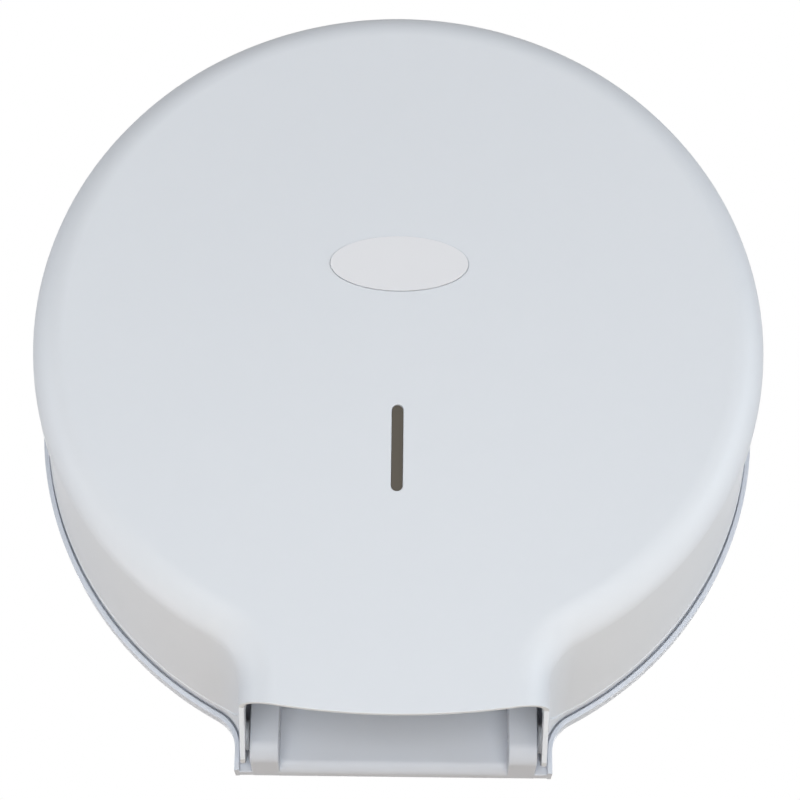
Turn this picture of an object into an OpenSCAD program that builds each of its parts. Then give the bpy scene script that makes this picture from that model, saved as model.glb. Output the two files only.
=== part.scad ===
// Jumbo toilet roll dispenser with a hinged round cover.
// Every module draws in the plan frame: x to the right, y up, z out of the wall.
// The last lines turn the plan frame to stand on the wall: x right, y into the wall, z up.
// The origin is on the wall face, on the axis of the roll spindle.

/* [Body] */
// Radius of the round cover at its front rim
body_r = 134; // [120:1:150]
// Distance from the wall to the rim of the front face
body_depth = 98; // [90:1:120]
// Height of the crown of the front face above its rim
face_crown = 1.2; // [0.6:0.2:2.4]
// Radius of the rounded rim of the front face
rim_r = 13; // [8:1:16]
// Depth of the rim band that stands proud of the side panel
rim_band = 19; // [17:1:24]
// Wall thickness of the cover
cover_wall = 2; // [1.6:0.2:2.6]
// Draft angle of the cover's side wall
draft_angle = 2.6; // [1:0.1:3]
// How far the side panel is set in behind the rim band
panel_inset = 1; // [0.4:0.2:1.4]
// Distance of the panel's end above the end of the fillet beside the neck
panel_stop = 5.7; // [4:0.1:8]
// Extent of the panel's rounded rear corner along the outline
panel_turn = 11.5; // [6:0.5:11.5]
// Extent of the same corner towards the rim
panel_turn_h = 30; // [10:1:34]
// Height of the lip band at the cover's rear edge
lip_band = 8.4; // [6:0.2:12]

/* [Neck] */
// Width of the neck at the front
neck_w = 107.4; // [100:0.2:116]
// Concave radius between the round body and the neck
neck_fillet = 20; // [16:1:26]
// How far the neck's front edge reaches below the round body
neck_len = 13; // [12:1:24]
// Radius of the curve of the front's bottom edge
bottom_arc_r = 280; // [200:10:400]
// Width of one tear tooth
tooth_pitch = 4; // [3:0.5:6]
// Height of one tear tooth
tooth_h = 1.8; // [1:0.2:2.4]

/* [Back plate] */
// Height of the plate's floor above the wall
floor_lift = 2.4; // [1.6:0.2:4]
// Thickness of the plate's floor
floor_t = 2.4; // [1.8:0.2:3]
// Height of the upstand that surrounds the cover's rear edge
upstand_h = 8; // [7:0.5:10]
// Thickness of the upstand
upstand_t = 1.6; // [1.2:0.2:2.4]
// Gap between the cover's rear edge and the upstand
edge_gap = 0.55; // [0.4:0.05:1]
// Horizontal distance between the wall screw holes
wall_hole_dx = 150; // [120:5:160]
// Vertical distance between the wall screw holes
wall_hole_dy = 110; // [90:5:120]
// Diameter of the wall screw holes
wall_hole_d = 5.5; // [4:0.5:7]

/* [Hinge] */
// Distance of the hinge axis from the wall
hinge_out = 15.5; // [13:0.5:19]
// Diameter of the hinge pins
pin_d = 5; // [4:0.5:6]
// Width of a hinge lug
lug_w = 10.6; // [9:0.2:14]
// Depth of a hinge lug from the wall
lug_depth = 25; // [22:0.5:28]
// Radius of the lug's lower front edge
lug_round = 7; // [4:0.5:8]

/* [Spindle] */
// Radius of the spindle post
post_r = 14; // [12:0.5:16]
// Room between the end of the spindle and the inside of the cover's face
cap_room = 8; // [5:0.5:20]
// Diameter over the hub's ribs, for the roll's paper core
hub_d = 43; // [40:1:46]
// Number of ribs on the hub
hub_ribs = 8; // [6:1:12]
// Radius of the hub's rear flange
hub_flange_r = 30; // [26:1:34]

/* [Front face details] */
// Width of the level window's slot
slot_w = 4.2; // [3:0.2:6]
// Height of the level window's slot
slot_h = 33; // [28:0.5:40]
// Distance of the slot's centre below the spindle axis
slot_drop = 49.5; // [46:0.5:60]
// Width of the blank oval badge
badge_w = 50.5; // [40:0.5:60]
// Height of the blank oval badge
badge_h = 22.2; // [16:0.2:26]
// Distance of the badge's centre above the spindle axis
badge_rise = 23; // [18:1:40]

/* [Lock] */
// Distance of the lock's axis from the wall
lock_out = 22; // [21:0.5:24]
// Outer radius of the lock's threaded housing
lock_r = 7.5; // [7:0.25:8]
// Gap between the tip of the unlocked cam and the back plate's floor
cam_clear = 2.2; // [1.5:0.1:4]

/* [Hidden] */
$fn = 96;

// Clearances
neck_step = 3.7;     // how far the back plate ends above the neck's front edge
ear_step = 1;        // how far the rounded ears beside the hinge end above the back plate's lower edge
lug_gap = 1.4;       // between a hinge lug and the neck's wall
run_gap = 0.05;      // radial running fit of a pin or shaft in its bore
seat_gap = 0.02;     // radial gap of a part fixed in its bore
side_gap = 0.35;     // between moving faces
rest_gap = 0.1;      // between parts that only touch
over = 1;            // how far a cut runs past a face
inward = 170;        // how far a side slice reaches in from the outline

// Heights above the wall
floor_front = floor_lift + floor_t;
cover_rear = floor_front + 0.4;
rim_start = body_depth - rim_r;
panel_top = body_depth - rim_band;
panel_low = cover_rear + lip_band;
panel_step = 0.6;
panel_nook = 3;

// Outline: lowest point of the front edge, centre of the concave fillet, and the wedge that the neck takes out of the round body
neck_drop = body_r + neck_len;
neck_half = neck_w / 2;
fillet_x = neck_half + neck_fillet;
fillet_span = body_r + neck_fillet;
fillet_y = -sqrt(fillet_span * fillet_span - fillet_x * fillet_x);
neck_wedge = asin(fillet_x / fillet_span);
fillet_reach = rim_r + 6;
blend_bias = 0.05;   // the fillets start this far inside their neighbours, so that they cut each other cleanly
blend_lap = 0.3;     // angle by which the body's panel runs on past its joint with the fillet
neck_lap = 3;        // overlap of the neck with the mouth above and below it

// Face
face_r = body_r - rim_r - 2;
crown_r = (face_r * face_r + face_crown * face_crown) / (2 * face_crown);
crown_steps = 8;

// Back plate
plate_offset = flare(cover_rear) + edge_gap + upstand_t;
plate_drop = neck_drop - neck_step;
ear_r = hinge_out - cover_rear;
hinge_y = ear_r + ear_step - plate_drop;
neck_inner = neck_half + flare(hinge_out) - cover_wall;
lug_outer = neck_half + flare(lug_depth) - cover_wall - lug_gap;
lug_inner = lug_outer - lug_w;

// Spindle
post_flange_r = hub_flange_r + 2;
post_flange_t = 3;
washer_t = 1;
cap_t = 4;
hub_start = floor_front + post_flange_t + washer_t + rest_gap;
post_top = body_depth - cover_wall - cap_room - cap_t;
hub_len = post_top - rest_gap - hub_start;
screw_ring_r = 24;

// Window
lens_seat = body_depth - cover_wall - 0.6;
lens_t = 1.3;
lens_w = slot_w + 6;
lens_h = slot_h + 12;
stake_y = slot_h / 2 + 3.4;

// Badge
badge_floor = face_height(badge_rise) - 0.75;
badge_t = 1;
badge_gap = 0.15;

// Lock: distances from the spindle axis along the lock's own vertical axis
lock_pad_r = lock_r + 3.5;
lock_pad_top = body_r + flare(lock_out - lock_pad_r) + 0.2;
lock_pad_low = lock_pad_top - 4.2;
lock_flange_t = 1.2;
lock_washer_t = 0.8;
lock_nut_t = 3;
lock_low = lock_pad_low - lock_washer_t - lock_nut_t - 2.7;
barrel_r = 5.4;
journal_r = 3.2;
cam_t = 2;
cam_reach = lock_out - floor_front - cam_clear;
cam_top = lock_low - 0.3;
cam_w = 7;
keeper_t = 1.5;
keeper_inner = cam_reach + 1.3;
keeper_hook_low = lock_out + cam_w / 2 + 0.9;
keeper_screw_x = [keeper_inner + 8, keeper_inner + 15.5];

// How far the side wall stands out of the rim's outline at a height above the wall
function flare(z) = (rim_start - z) * tan(draft_angle);

// Height of the crowned face at a distance from the spindle axis
function face_height(r) = body_depth + face_crown + sqrt(crown_r * crown_r - r * r) - crown_r;

// ---- Shapes shared by the shells ----

// Section of the cover's side and rim: x out from the rim's outline, y the height above the wall
module side_slice(inset, rear) {
    polygon([[-inward, rear], [flare(rear) - inset, rear], [-inset, rim_start], [-inward, rim_start]]);
    translate([-inward, rear]) square([inward - rim_r, body_depth - inset - rear]);
    translate([-rim_r, rim_start]) circle(r = rim_r - inset);
}

// Carries a section of the side round the body, round its concave fillets and down the neck
module around(rear, top, drop) {
    tall = top - rear + 2 * over;
    rotate_extrude() intersection() {
        translate([body_r, 0]) children();
        translate([0, rear - over]) square([body_r + inward, tall]);
    }
    for (side = [0, 1]) mirror([side, 0, 0]) translate([-fillet_x, fillet_y, 0])
        rotate_extrude(angle = 90 - neck_wedge) intersection() {
            translate([neck_fillet + blend_bias, 0]) mirror([1, 0]) children();
            translate([0, rear - over]) square([neck_fillet + fillet_reach, tall]);
        }
    translate([0, 0, rear]) linear_extrude(top - rear) neck_core();
    translate([0, fillet_y + neck_lap, 0]) rotate([90, 0, 0]) linear_extrude(drop + fillet_y + neck_lap) {
        for (side = [0, 1]) mirror([side, 0]) intersection() {
            translate([neck_half, 0]) children();
            translate([0, rear - over]) square([inward, tall]);
        }
    }
}

// Plan of the flat core that fills the mouth of the neck
module neck_core() {
    near = body_r - rim_r - over;
    join_x = near * sin(neck_wedge);
    join_y = -near * cos(neck_wedge);
    in_x = neck_half - rim_r - over;
    difference() {
        polygon([[0, -near / 2], [join_x, join_y], [in_x, fillet_y - neck_lap], [-in_x, fillet_y - neck_lap],
            [-join_x, join_y]]);
        for (side = [-1, 1]) translate([side * fillet_x, fillet_y]) circle(r = neck_fillet + rim_r + 1.5 * over);
    }
}

// A flat slab with the body's outline, offset outwards
module slab(offset_by, low, top, drop) {
    around(low, top, drop) translate([-inward, low]) square([inward + offset_by, top - low]);
}

// Section of the band that is cut away to set the side panel in between the rim band and the rear lip
module panel_slice(inset) {
    low = flare(panel_low) - inset;
    top = flare(panel_top) - inset;
    polygon([
        [low - panel_inset, panel_low + panel_step],
        [low + over, panel_low - panel_step],
        [top + over, panel_top + panel_step],
        [top - panel_inset, panel_top - panel_step]
    ]);
}

// Side view of the panel, with the height above the wall across: its lower end is rounded off beside the neck
module panel_end(grow) {
    end = fillet_y + panel_stop - grow;
    rear = panel_low - panel_step - grow;
    front = panel_top + panel_step + grow;
    polygon(concat(
        [[front, body_r + inward], [rear, body_r + inward]],
        [for (turn = [0 : 7.5 : 90])
            [rear + panel_turn_h * (1 - cos(turn)), end + panel_turn * (1 - sin(turn))]],
        [for (turn = [90 : -15 : 0]) [front - panel_nook * (1 - cos(turn)), end + panel_nook * (1 - sin(turn))]]
    ));
}

// What sets the side panel in all round the body
module body_panel(inset) {
    rotate(neck_wedge - blend_lap - 90) rotate_extrude(angle = 360 - 2 * neck_wedge + 2 * blend_lap)
        translate([body_r, 0]) panel_slice(inset);
}

// What sets it in on the fillets, as far as its rounded ends
module fillet_panels(inset) {
    for (side = [0, 1]) mirror([side, 0, 0]) intersection() {
        translate([-fillet_x, fillet_y, 0]) rotate_extrude(angle = 90 - neck_wedge)
            translate([neck_fillet + blend_bias, 0]) mirror([1, 0]) panel_slice(inset);
        across(-inward, inward) panel_end(inset / 2);
    }
}

// The cover's solid outer form, or its cavity when inset by the wall
module cover_form(inset, rear, drop) {
    difference() {
        difference() {
            around(rear, body_depth - inset, drop) side_slice(inset, rear);
            body_panel(inset);
        }
        fillet_panels(inset);
    }
    crown_low = body_depth - inset;
    rotate_extrude() polygon(concat(
        [[0, crown_low - over], [face_r, crown_low - over]],
        [for (i = [0 : crown_steps]) let (r = face_r * (1 - i / crown_steps)) [r, face_height(r) - inset]]
    ));
}

// A bar across the part with the section that is drawn in (height above the wall, y)
module across(x_low, x_high) {
    translate([x_low, 0, 0]) rotate([90, 0, 90]) linear_extrude(x_high - x_low)
        rotate(90) mirror([0, 1]) children();
}

// A shape along the vertical axis through a point of the plan, from y_low upwards
module upright(x, out, y_low) {
    translate([x, y_low, out]) rotate([-90, 0, 0]) children();
}

// ---- Back plate ----

module back_plate() color([0.80, 0.82, 0.86]) {
    difference() {
        union() {
            plate_pan();
            wall_bosses(wall_hole_d / 2 + 5, floor_front + 1.2);
            post_seat();
            keeper_bosses();
            hinge_lugs();
            outlet_sill();
        }
        wall_bosses(wall_hole_d / 2, upstand_h);
        post_screw_places() translate([0, 0, 0.8]) cylinder(r = 1.5, h = floor_front);
        keeper_screw_places() translate([0, 0, 0.8]) cylinder(r = 1.2, h = floor_front);
        hinge_bores();
    }
}

// Floor with a rim skirt, an upstand round the cover's edge, and ribs on the wall side
module plate_pan() {
    difference() {
        slab(plate_offset, 0, upstand_h, plate_drop);
        slab(plate_offset - upstand_t, floor_front, upstand_h + over, plate_drop + over);
        slab(plate_offset - upstand_t, -over, floor_lift, plate_drop - upstand_t);
    }
    rib_ring(body_r * 0.72);
    rib_ring(body_r * 0.4);
    for (turn = [15 : 30 : 345]) rotate(turn) translate([body_r * 0.4, -0.9, 0])
        cube([body_r * 0.56, 1.8, floor_lift + 0.1]);
    difference() {
        translate([0, 0, floor_front - 0.1]) cylinder(r = body_r * 0.82, h = 1.3);
        translate([0, 0, floor_front - 0.2]) cylinder(r = body_r * 0.82 - 2.4, h = 2);
        translate([-inward / 2, -inward, 0]) cube([inward, inward - body_r * 0.5, floor_front + 2]);
    }
}

// A ring rib on the wall side of the floor
module rib_ring(r) {
    difference() {
        cylinder(r = r + 0.9, h = floor_lift + 0.1);
        translate([0, 0, -over]) cylinder(r = r - 0.9, h = floor_lift + 2 * over);
    }
}

// Bosses, or the holes through them, for the wall screws
module wall_bosses(r, top) {
    low = top > floor_front + 2 ? -over : 0;
    for (sx = [-1, 1]) for (sy = [-1, 1])
        translate([sx * wall_hole_dx / 2, sy * wall_hole_dy / 2, low]) cylinder(r = r, h = top - low);
}

// Locating ring and screw bosses for the spindle post
module post_seat() {
    difference() {
        translate([0, 0, floor_lift]) cylinder(r = post_flange_r + 2.2, h = floor_t + 1.8);
        translate([0, 0, floor_front]) cylinder(r = post_flange_r + rest_gap, h = 4);
    }
    post_screw_places() cylinder(r = 4, h = floor_front);
}

module post_screw_places() {
    for (turn = [45 : 90 : 315]) rotate(turn) translate([screw_ring_r, 0, 0]) children();
}

module keeper_bosses() {
    keeper_screw_places() cylinder(r = 3.4, h = floor_front);
}

module keeper_screw_places() {
    for (x = keeper_screw_x) translate([x, cam_top - cam_t / 2, 0]) children();
}

// Two lugs at the bottom that carry the hinge pins
module hinge_lugs() {
    for (side = [0, 1]) mirror([side, 0, 0]) across(lug_inner, lug_outer) lug_section();
}

module lug_section() {
    low = -plate_drop;
    shoulder = hinge_y + ear_r;
    difference() {
        union() {
            polygon([[0, low], [lug_depth - lug_round, low], [lug_depth, low + lug_round],
                [lug_depth, shoulder], [lug_depth - 5, shoulder + 8], [floor_front, shoulder + 17], [0, shoulder + 17]]);
            translate([lug_depth - lug_round, low + lug_round]) circle(r = lug_round);
        }
        translate([-over, shoulder - 3]) square([floor_lift + over, 14]);
    }
}

module hinge_bores() {
    translate([-neck_w, hinge_y, hinge_out]) rotate([0, 90, 0]) cylinder(d = pin_d + 2 * seat_gap, h = 2 * neck_w);
}

// Smooth sill between the lugs that turns the paper out over the plate's bottom edge
module outlet_sill() {
    difference() {
        across(-lug_inner - 0.5, lug_inner + 0.5) sill_section(0);
        across(upstand_t - lug_inner, lug_inner - upstand_t) sill_section(upstand_t);
    }
}

module sill_section(inset) {
    low = inset - plate_drop;
    out = upstand_h - inset;
    round_r = 4.4 - inset;
    polygon([[-inset, low], [out - round_r, low], [out, low + round_r], [out, low + 24], [floor_lift, low + 36],
        [-inset, low + 36]]);
    translate([out - round_r, low + round_r]) circle(r = round_r);
}

// ---- Front cover ----

module front_cover() color([0.93, 0.94, 0.96]) {
    difference() {
        union() {
            difference() {
                cover_form(0, cover_rear, neck_drop + 6);
                cover_form(cover_wall, cover_rear - over, neck_drop + 8);
            }
            hinge_ears();
            lens_pad();
            lock_pad();
        }
        bottom_cut();
        ear_cut();
        tear_teeth();
        pin_sockets();
        translate([0, -slot_drop, 0]) slot_shape(slot_w, slot_h, lens_seat - over, body_depth + 3);
        badge_shape(badge_gap, badge_floor, body_depth + face_crown + over);
        upright(0, lock_out, lock_pad_low - over) cylinder(r = lock_r + rest_gap, h = 8);
    }
    lens_stakes();
}

// Trims the front's bottom edge to a shallow arc
module bottom_cut() {
    translate([0, 0, -over]) linear_extrude(body_depth + 5) difference() {
        translate([-neck_w, -neck_drop - 20]) square([2 * neck_w, 32]);
        translate([0, bottom_arc_r - neck_drop]) circle(r = bottom_arc_r, $fn = 360);
    }
}

// Rounds the neck's side walls about the hinge so that they clear the plate as the cover swings
module ear_cut() {
    for (side = [0, 1]) mirror([side, 0, 0]) across(lug_inner, neck_w) difference() {
        translate([0, hinge_y - 30]) square([hinge_out, 30]);
        translate([hinge_out, hinge_y]) circle(r = ear_r);
    }
}

// Saw teeth along the bottom edges of the neck's side walls
module tear_teeth() {
    tip = hinge_y - ear_r;
    first = hinge_out + 4;
    count = floor((rim_start - first) / tooth_pitch);
    for (side = [0, 1]) mirror([side, 0, 0]) across(neck_half - cover_wall - 2, neck_w) polygon(concat(
        [[hinge_out, tip - 20], [hinge_out, tip]],
        [for (i = [0 : count]) for (half = [0, 1])
            [first + (i + half / 2) * tooth_pitch, tip + half * tooth_h]],
        [[first + (count + 0.5) * tooth_pitch, tip - 20]]
    ));
}

// Bosses inside the neck's side walls that turn on the hinge pins
module hinge_ears() {
    for (side = [0, 1]) mirror([side, 0, 0]) translate([lug_outer + side_gap, hinge_y, hinge_out])
        rotate([0, 90, 0]) cylinder(r = pin_d / 2 + 3, h = neck_inner - lug_outer - side_gap + cover_wall / 2);
}

module pin_sockets() {
    for (side = [0, 1]) mirror([side, 0, 0]) translate([lug_outer - over, hinge_y, hinge_out])
        rotate([0, 90, 0]) cylinder(d = pin_d + 2 * run_gap, h = neck_inner + cover_wall / 2 - lug_outer + over);
}

// A flat seat inside the face for the level window
module lens_pad() {
    translate([0, -slot_drop, lens_seat]) linear_extrude(cover_wall) square([lens_w + 2, lens_h + 2], center = true);
}

module lens_stakes() {
    for (end = [-1, 1]) translate([0, end * stake_y - slot_drop, 0]) {
        translate([0, 0, lens_seat - lens_t - rest_gap]) cylinder(r = 1, h = lens_t + 0.5);
        translate([0, 0, lens_seat - lens_t - rest_gap - 0.6]) cylinder(r = 1.7, h = 0.6);
    }
}

// Flat pad in the top of the side wall that carries the lock
module lock_pad() {
    upright(0, lock_out, lock_pad_low) cylinder(r = lock_pad_r, h = lock_pad_top - lock_pad_low);
}

// Upright bar with round ends, centred, between two heights
module slot_shape(w, h, low, top) {
    translate([0, 0, low]) linear_extrude(top - low) {
        square([w, h - w], center = true);
        for (end = [-1, 1]) translate([0, end * (h - w) / 2]) circle(d = w);
    }
}

// Oval of the badge, grown by a gap, between two heights
module badge_shape(gap, low, top) {
    translate([0, badge_rise, low]) scale([badge_w / 2 + gap, badge_h / 2 + gap, 1]) cylinder(r = 1, h = top - low);
}

module badge_plate() color([0.90, 0.90, 0.91]) badge_shape(0, badge_floor, badge_floor + badge_t);

module level_window() color([0.30, 0.28, 0.25]) {
    translate([0, -slot_drop, 0]) difference() {
        union() {
            translate([0, 0, lens_seat - lens_t]) linear_extrude(lens_t) square([lens_w, lens_h], center = true);
            slot_shape(slot_w - 2 * rest_gap, slot_h - 2 * rest_gap, lens_seat - 0.1, body_depth);
        }
        for (end = [-1, 1]) translate([0, end * stake_y, lens_seat - lens_t - over])
            cylinder(r = 1 + rest_gap, h = lens_t + 2 * over);
    }
}

// ---- Hinge pins ----

module hinge_pin() {
    length = neck_inner + cover_wall / 2 - 0.5 - lug_inner;
    translate([lug_inner, hinge_y, hinge_out]) rotate([0, 90, 0]) rotate_extrude()
        polygon([[0, 0], [pin_d / 2 - 0.4, 0], [pin_d / 2, 0.4], [pin_d / 2, length - 0.4],
            [pin_d / 2 - 0.4, length], [0, length]]);
}

module hinge_pin_left() color([0.72, 0.73, 0.75]) mirror([1, 0, 0]) hinge_pin();

module hinge_pin_right() color([0.72, 0.73, 0.75]) hinge_pin();

// ---- Spindle ----

module spindle_post() color([0.78, 0.80, 0.84]) {
    difference() {
        union() {
            translate([0, 0, floor_front]) cylinder(r = post_flange_r, h = post_flange_t);
            translate([0, 0, floor_front]) cylinder(r = post_r, h = post_top - floor_front);
        }
        translate([0, 0, floor_front - over]) cylinder(r = post_r - 2.6, h = post_top - floor_front - 4 + over);
        translate([0, 0, post_top - 6]) cylinder(r = 2, h = 8);
        post_screw_places() {
            cylinder(r = 1.8, h = floor_front + 5);
            translate([0, 0, floor_front + 1.2]) cylinder(r = 3.6, h = 4);
        }
    }
}

// Pan-head screw with its head's seat at the origin and its shank downwards
module pan_screw(shank_r, shank_len, head_r, head_h) {
    difference() {
        union() {
            translate([0, 0, -shank_len]) cylinder(r = shank_r, h = shank_len);
            rotate_extrude() intersection() {
                square([head_r, head_h]);
                translate([0, head_h - 2 * head_r]) circle(r = 2 * head_r);
            }
        }
        for (turn = [0, 90]) rotate(turn) translate([-head_r * 0.55, -head_r * 0.11, head_h * 0.45])
            cube([head_r * 1.1, head_r * 0.22, head_h]);
    }
}

module spindle_screws() color([0.70, 0.71, 0.73])
    post_screw_places() translate([0, 0, floor_front + 1.2]) pan_screw(1.48, 4.4, 3.2, 1.7);

module friction_washer() color([0.35, 0.35, 0.37]) translate([0, 0, floor_front + post_flange_t]) difference() {
    cylinder(r = post_r + 6, h = washer_t);
    translate([0, 0, -over]) cylinder(r = post_r + 0.3, h = washer_t + 2 * over);
}

// Ribbed sleeve that turns on the post inside the roll's paper core
module core_hub() color([0.86, 0.88, 0.91]) translate([0, 0, hub_start]) difference() {
    union() {
        cylinder(r = hub_flange_r, h = 2.5);
        cylinder(r = post_r + 2.4, h = hub_len);
        for (turn = [0 : 360 / hub_ribs : 359]) rotate(turn) rotate([90, 0, 0]) translate([0, 0, -0.9])
            linear_extrude(1.8) polygon([[post_r + 1, 1], [hub_d / 2 + 3, 1], [hub_d / 2, 7],
                [hub_d / 2, hub_len - 12], [hub_d / 2 - 3, hub_len - 2], [post_r + 1, hub_len - 2]]);
    }
    translate([0, 0, -over]) cylinder(r = post_r + run_gap, h = hub_len + 2 * over);
}

module hub_cap() color([0.78, 0.80, 0.84]) translate([0, 0, post_top]) difference() {
    rotate_extrude() {
        square([post_r + 2, cap_t]);
        translate([post_r + 2, 0]) square([2, cap_t - 2]);
        translate([post_r + 2, cap_t - 2]) circle(r = 2);
    }
    translate([0, 0, -over]) cylinder(r = 2.2, h = cap_t + 2 * over);
    translate([0, 0, cap_t - 2.6]) cylinder(r = 4.6, h = 4);
}

module hub_screw() color([0.70, 0.71, 0.73])
    translate([0, 0, post_top + cap_t - 2.6]) pan_screw(1.95, 6, 3.9, 2.4);

// ---- Lock ----

module lock_housing() color([0.74, 0.75, 0.77]) difference() {
    union() {
        upright(0, lock_out, lock_low) cylinder(r = lock_r, h = lock_pad_top - lock_low);
        upright(0, lock_out, lock_pad_top) cylinder(r = lock_r + 2, h = lock_flange_t);
    }
    upright(0, lock_out, lock_low - over) cylinder(r = barrel_r + run_gap, h = 40);
    upright(0, lock_out, lock_pad_top + lock_flange_t - 1) cylinder(r = barrel_r + 1.3, h = 4);
}

module lock_washer() color([0.70, 0.71, 0.73]) upright(0, lock_out, lock_pad_low - lock_washer_t) difference() {
    cylinder(r = lock_r + 2.8, h = lock_washer_t);
    translate([0, 0, -over]) cylinder(r = lock_r + rest_gap, h = lock_washer_t + 2 * over);
}

module lock_nut() color([0.70, 0.71, 0.73])
    upright(0, lock_out, lock_pad_low - lock_washer_t - lock_nut_t) difference() {
        cylinder(r = lock_r + 3, h = lock_nut_t, $fn = 6);
        translate([0, 0, -over]) cylinder(r = lock_r + seat_gap, h = lock_nut_t + 2 * over);
    }

module lock_barrel() color([0.60, 0.61, 0.63]) difference() {
    union() {
        upright(0, lock_out, lock_low - 0.2) cylinder(r = barrel_r, h = lock_pad_top + lock_flange_t - 0.3 - lock_low);
        upright(0, lock_out, lock_pad_top + lock_flange_t - 0.9) cylinder(r = barrel_r + 1.1, h = 0.8);
        upright(0, lock_out, cam_top - cam_t) cylinder(r = journal_r, h = 4);
    }
    upright(0, lock_out, cam_top - cam_t - over) cylinder(r = 1.5 + seat_gap, h = 8);
    upright(0, lock_out, lock_pad_top - 3) translate([-0.7, -3.2, 0]) cube([1.4, 6.4, 8]);
    upright(0, lock_out, lock_pad_top - 3) translate([-2, -0.6, 0]) cube([4, 1.2, 8]);
}

// Quarter-turn cam, drawn unlocked, with its arm towards the wall
module lock_cam() color([0.70, 0.71, 0.73]) upright(0, lock_out, cam_top - cam_t) difference() {
    union() {
        cylinder(r = 6.3, h = cam_t);
        translate([-cam_w / 2, 0, 0]) cube([cam_w, cam_reach - 1, cam_t]);
        for (side = [-1, 1]) translate([side * (cam_w / 2 - 1), cam_reach - 1, 0]) cylinder(r = 1, h = cam_t);
        translate([1 - cam_w / 2, 0, 0]) cube([cam_w - 2, cam_reach, cam_t]);
    }
    translate([0, 0, -over]) cylinder(r = journal_r + seat_gap, h = cam_t + 2 * over);
}

module cam_screw() color([0.70, 0.71, 0.73])
    upright(0, lock_out, cam_top - cam_t) mirror([0, 0, 1]) pan_screw(1.5, 5, 4.4, 1.6);

// Bent strip screwed to the plate, whose hook the cam turns behind
module lock_keeper() color([0.74, 0.75, 0.77]) {
    low = cam_top - cam_t / 2 - 3.5;
    difference() {
        translate([0, low, 0]) mirror([0, 1, 0]) rotate([90, 0, 0]) linear_extrude(7) keeper_section();
        keeper_screw_places() cylinder(r = 1.7, h = 20);
    }
}

module keeper_section() {
    bend = 2.5;
    outer = keeper_inner + keeper_t;
    top = keeper_hook_low + keeper_t;
    foot = keeper_screw_x[1] + 4.5;
    difference() {
        union() {
            translate([keeper_inner, floor_front]) square([keeper_t, top - bend - floor_front]);
            translate([cam_reach - 6.4, keeper_hook_low]) square([outer - bend - cam_reach + 6.4, keeper_t]);
            translate([outer - bend, top - bend]) difference() {
                circle(r = bend);
                circle(r = bend - keeper_t);
                translate([-2 * bend, -2 * bend]) square([4 * bend, 2 * bend]);
                translate([-2 * bend, -2 * bend]) square([2 * bend, 4 * bend]);
            }
            translate([keeper_inner, floor_front]) square([foot - keeper_inner, keeper_t]);
        }
    }
}

module keeper_screws() color([0.70, 0.71, 0.73])
    keeper_screw_places() translate([0, 0, floor_front + keeper_t]) pan_screw(1.18, 5, 2.8, 1.5);

// ---- Stands the plan frame up against the wall ----

module stand() {
    rotate([90, 0, 0]) children();
}

stand() back_plate();
stand() front_cover();
stand() level_window();
stand() badge_plate();
stand() hinge_pin_left();
stand() hinge_pin_right();
stand() spindle_post();
stand() spindle_screws();
stand() friction_washer();
stand() core_hub();
stand() hub_cap();
stand() hub_screw();
stand() lock_housing();
stand() lock_washer();
stand() lock_nut();
stand() lock_barrel();
stand() lock_cam();
stand() cam_screw();
stand() lock_keeper();
stand() keeper_screws();
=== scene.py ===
"""Looks of a wall-hung dispenser for jumbo toilet rolls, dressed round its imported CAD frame.

Shapes are drawn in the maker's plan frame, in millimetres: x to the right, y up, z out of the wall, with
the origin on the wall face, on the axis of the roll spindle. Draft.build() turns them to the scene's frame.
"""

import logging
import math
from collections.abc import Callable, Sequence
from dataclasses import dataclass
from enum import Enum
from functools import cached_property

import bpy
import numpy as np
from mathutils import Matrix, Vector
from mathutils.geometry import delaunay_2d_cdt


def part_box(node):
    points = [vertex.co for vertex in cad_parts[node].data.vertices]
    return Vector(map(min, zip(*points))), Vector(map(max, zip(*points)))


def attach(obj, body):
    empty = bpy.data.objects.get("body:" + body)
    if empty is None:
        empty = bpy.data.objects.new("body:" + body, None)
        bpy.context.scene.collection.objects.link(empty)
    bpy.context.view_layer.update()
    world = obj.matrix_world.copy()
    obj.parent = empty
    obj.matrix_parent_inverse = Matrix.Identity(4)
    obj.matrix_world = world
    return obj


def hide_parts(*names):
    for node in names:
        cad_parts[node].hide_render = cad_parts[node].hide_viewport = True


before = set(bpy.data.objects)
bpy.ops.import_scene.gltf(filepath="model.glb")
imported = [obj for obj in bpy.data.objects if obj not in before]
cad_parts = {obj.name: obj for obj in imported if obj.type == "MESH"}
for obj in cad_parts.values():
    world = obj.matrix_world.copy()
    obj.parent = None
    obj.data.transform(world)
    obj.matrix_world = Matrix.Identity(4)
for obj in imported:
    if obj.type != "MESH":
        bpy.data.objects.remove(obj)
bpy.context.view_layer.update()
MM = 0.001

log = logging.getLogger("dispenser")


# ---- Drawing tools ----


def unit(vectors: np.ndarray) -> np.ndarray:
    """Vectors scaled to length one, along the last axis."""
    return vectors / np.maximum(np.linalg.norm(vectors, axis=-1, keepdims=True), 1e-12)


def ease(share: np.ndarray) -> np.ndarray:
    """Smooth step from 0 to 1, flat at both ends."""
    share = np.clip(share, 0.0, 1.0)
    return share * share * (3.0 - 2.0 * share)


def in_polygon(polygon: np.ndarray, points: np.ndarray) -> np.ndarray:
    """Tells which points lie inside a closed polygon, by the even-odd rule.

    Args:
        polygon: Corners in order, (n, 2).
        points: Points to test, (m, 2).

    Returns:
        A truth value for each point.
    """
    found = np.zeros(len(points), bool)
    x, y = points[:, 0], points[:, 1]
    for (ax, ay), (bx, by) in zip(polygon, np.roll(polygon, -1, axis=0)):
        if ay == by:
            continue
        spans = (ay > y) != (by > y)
        found ^= spans & (x < ax + (bx - ax) * (y - ay) / (by - ay))
    return found


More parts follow.
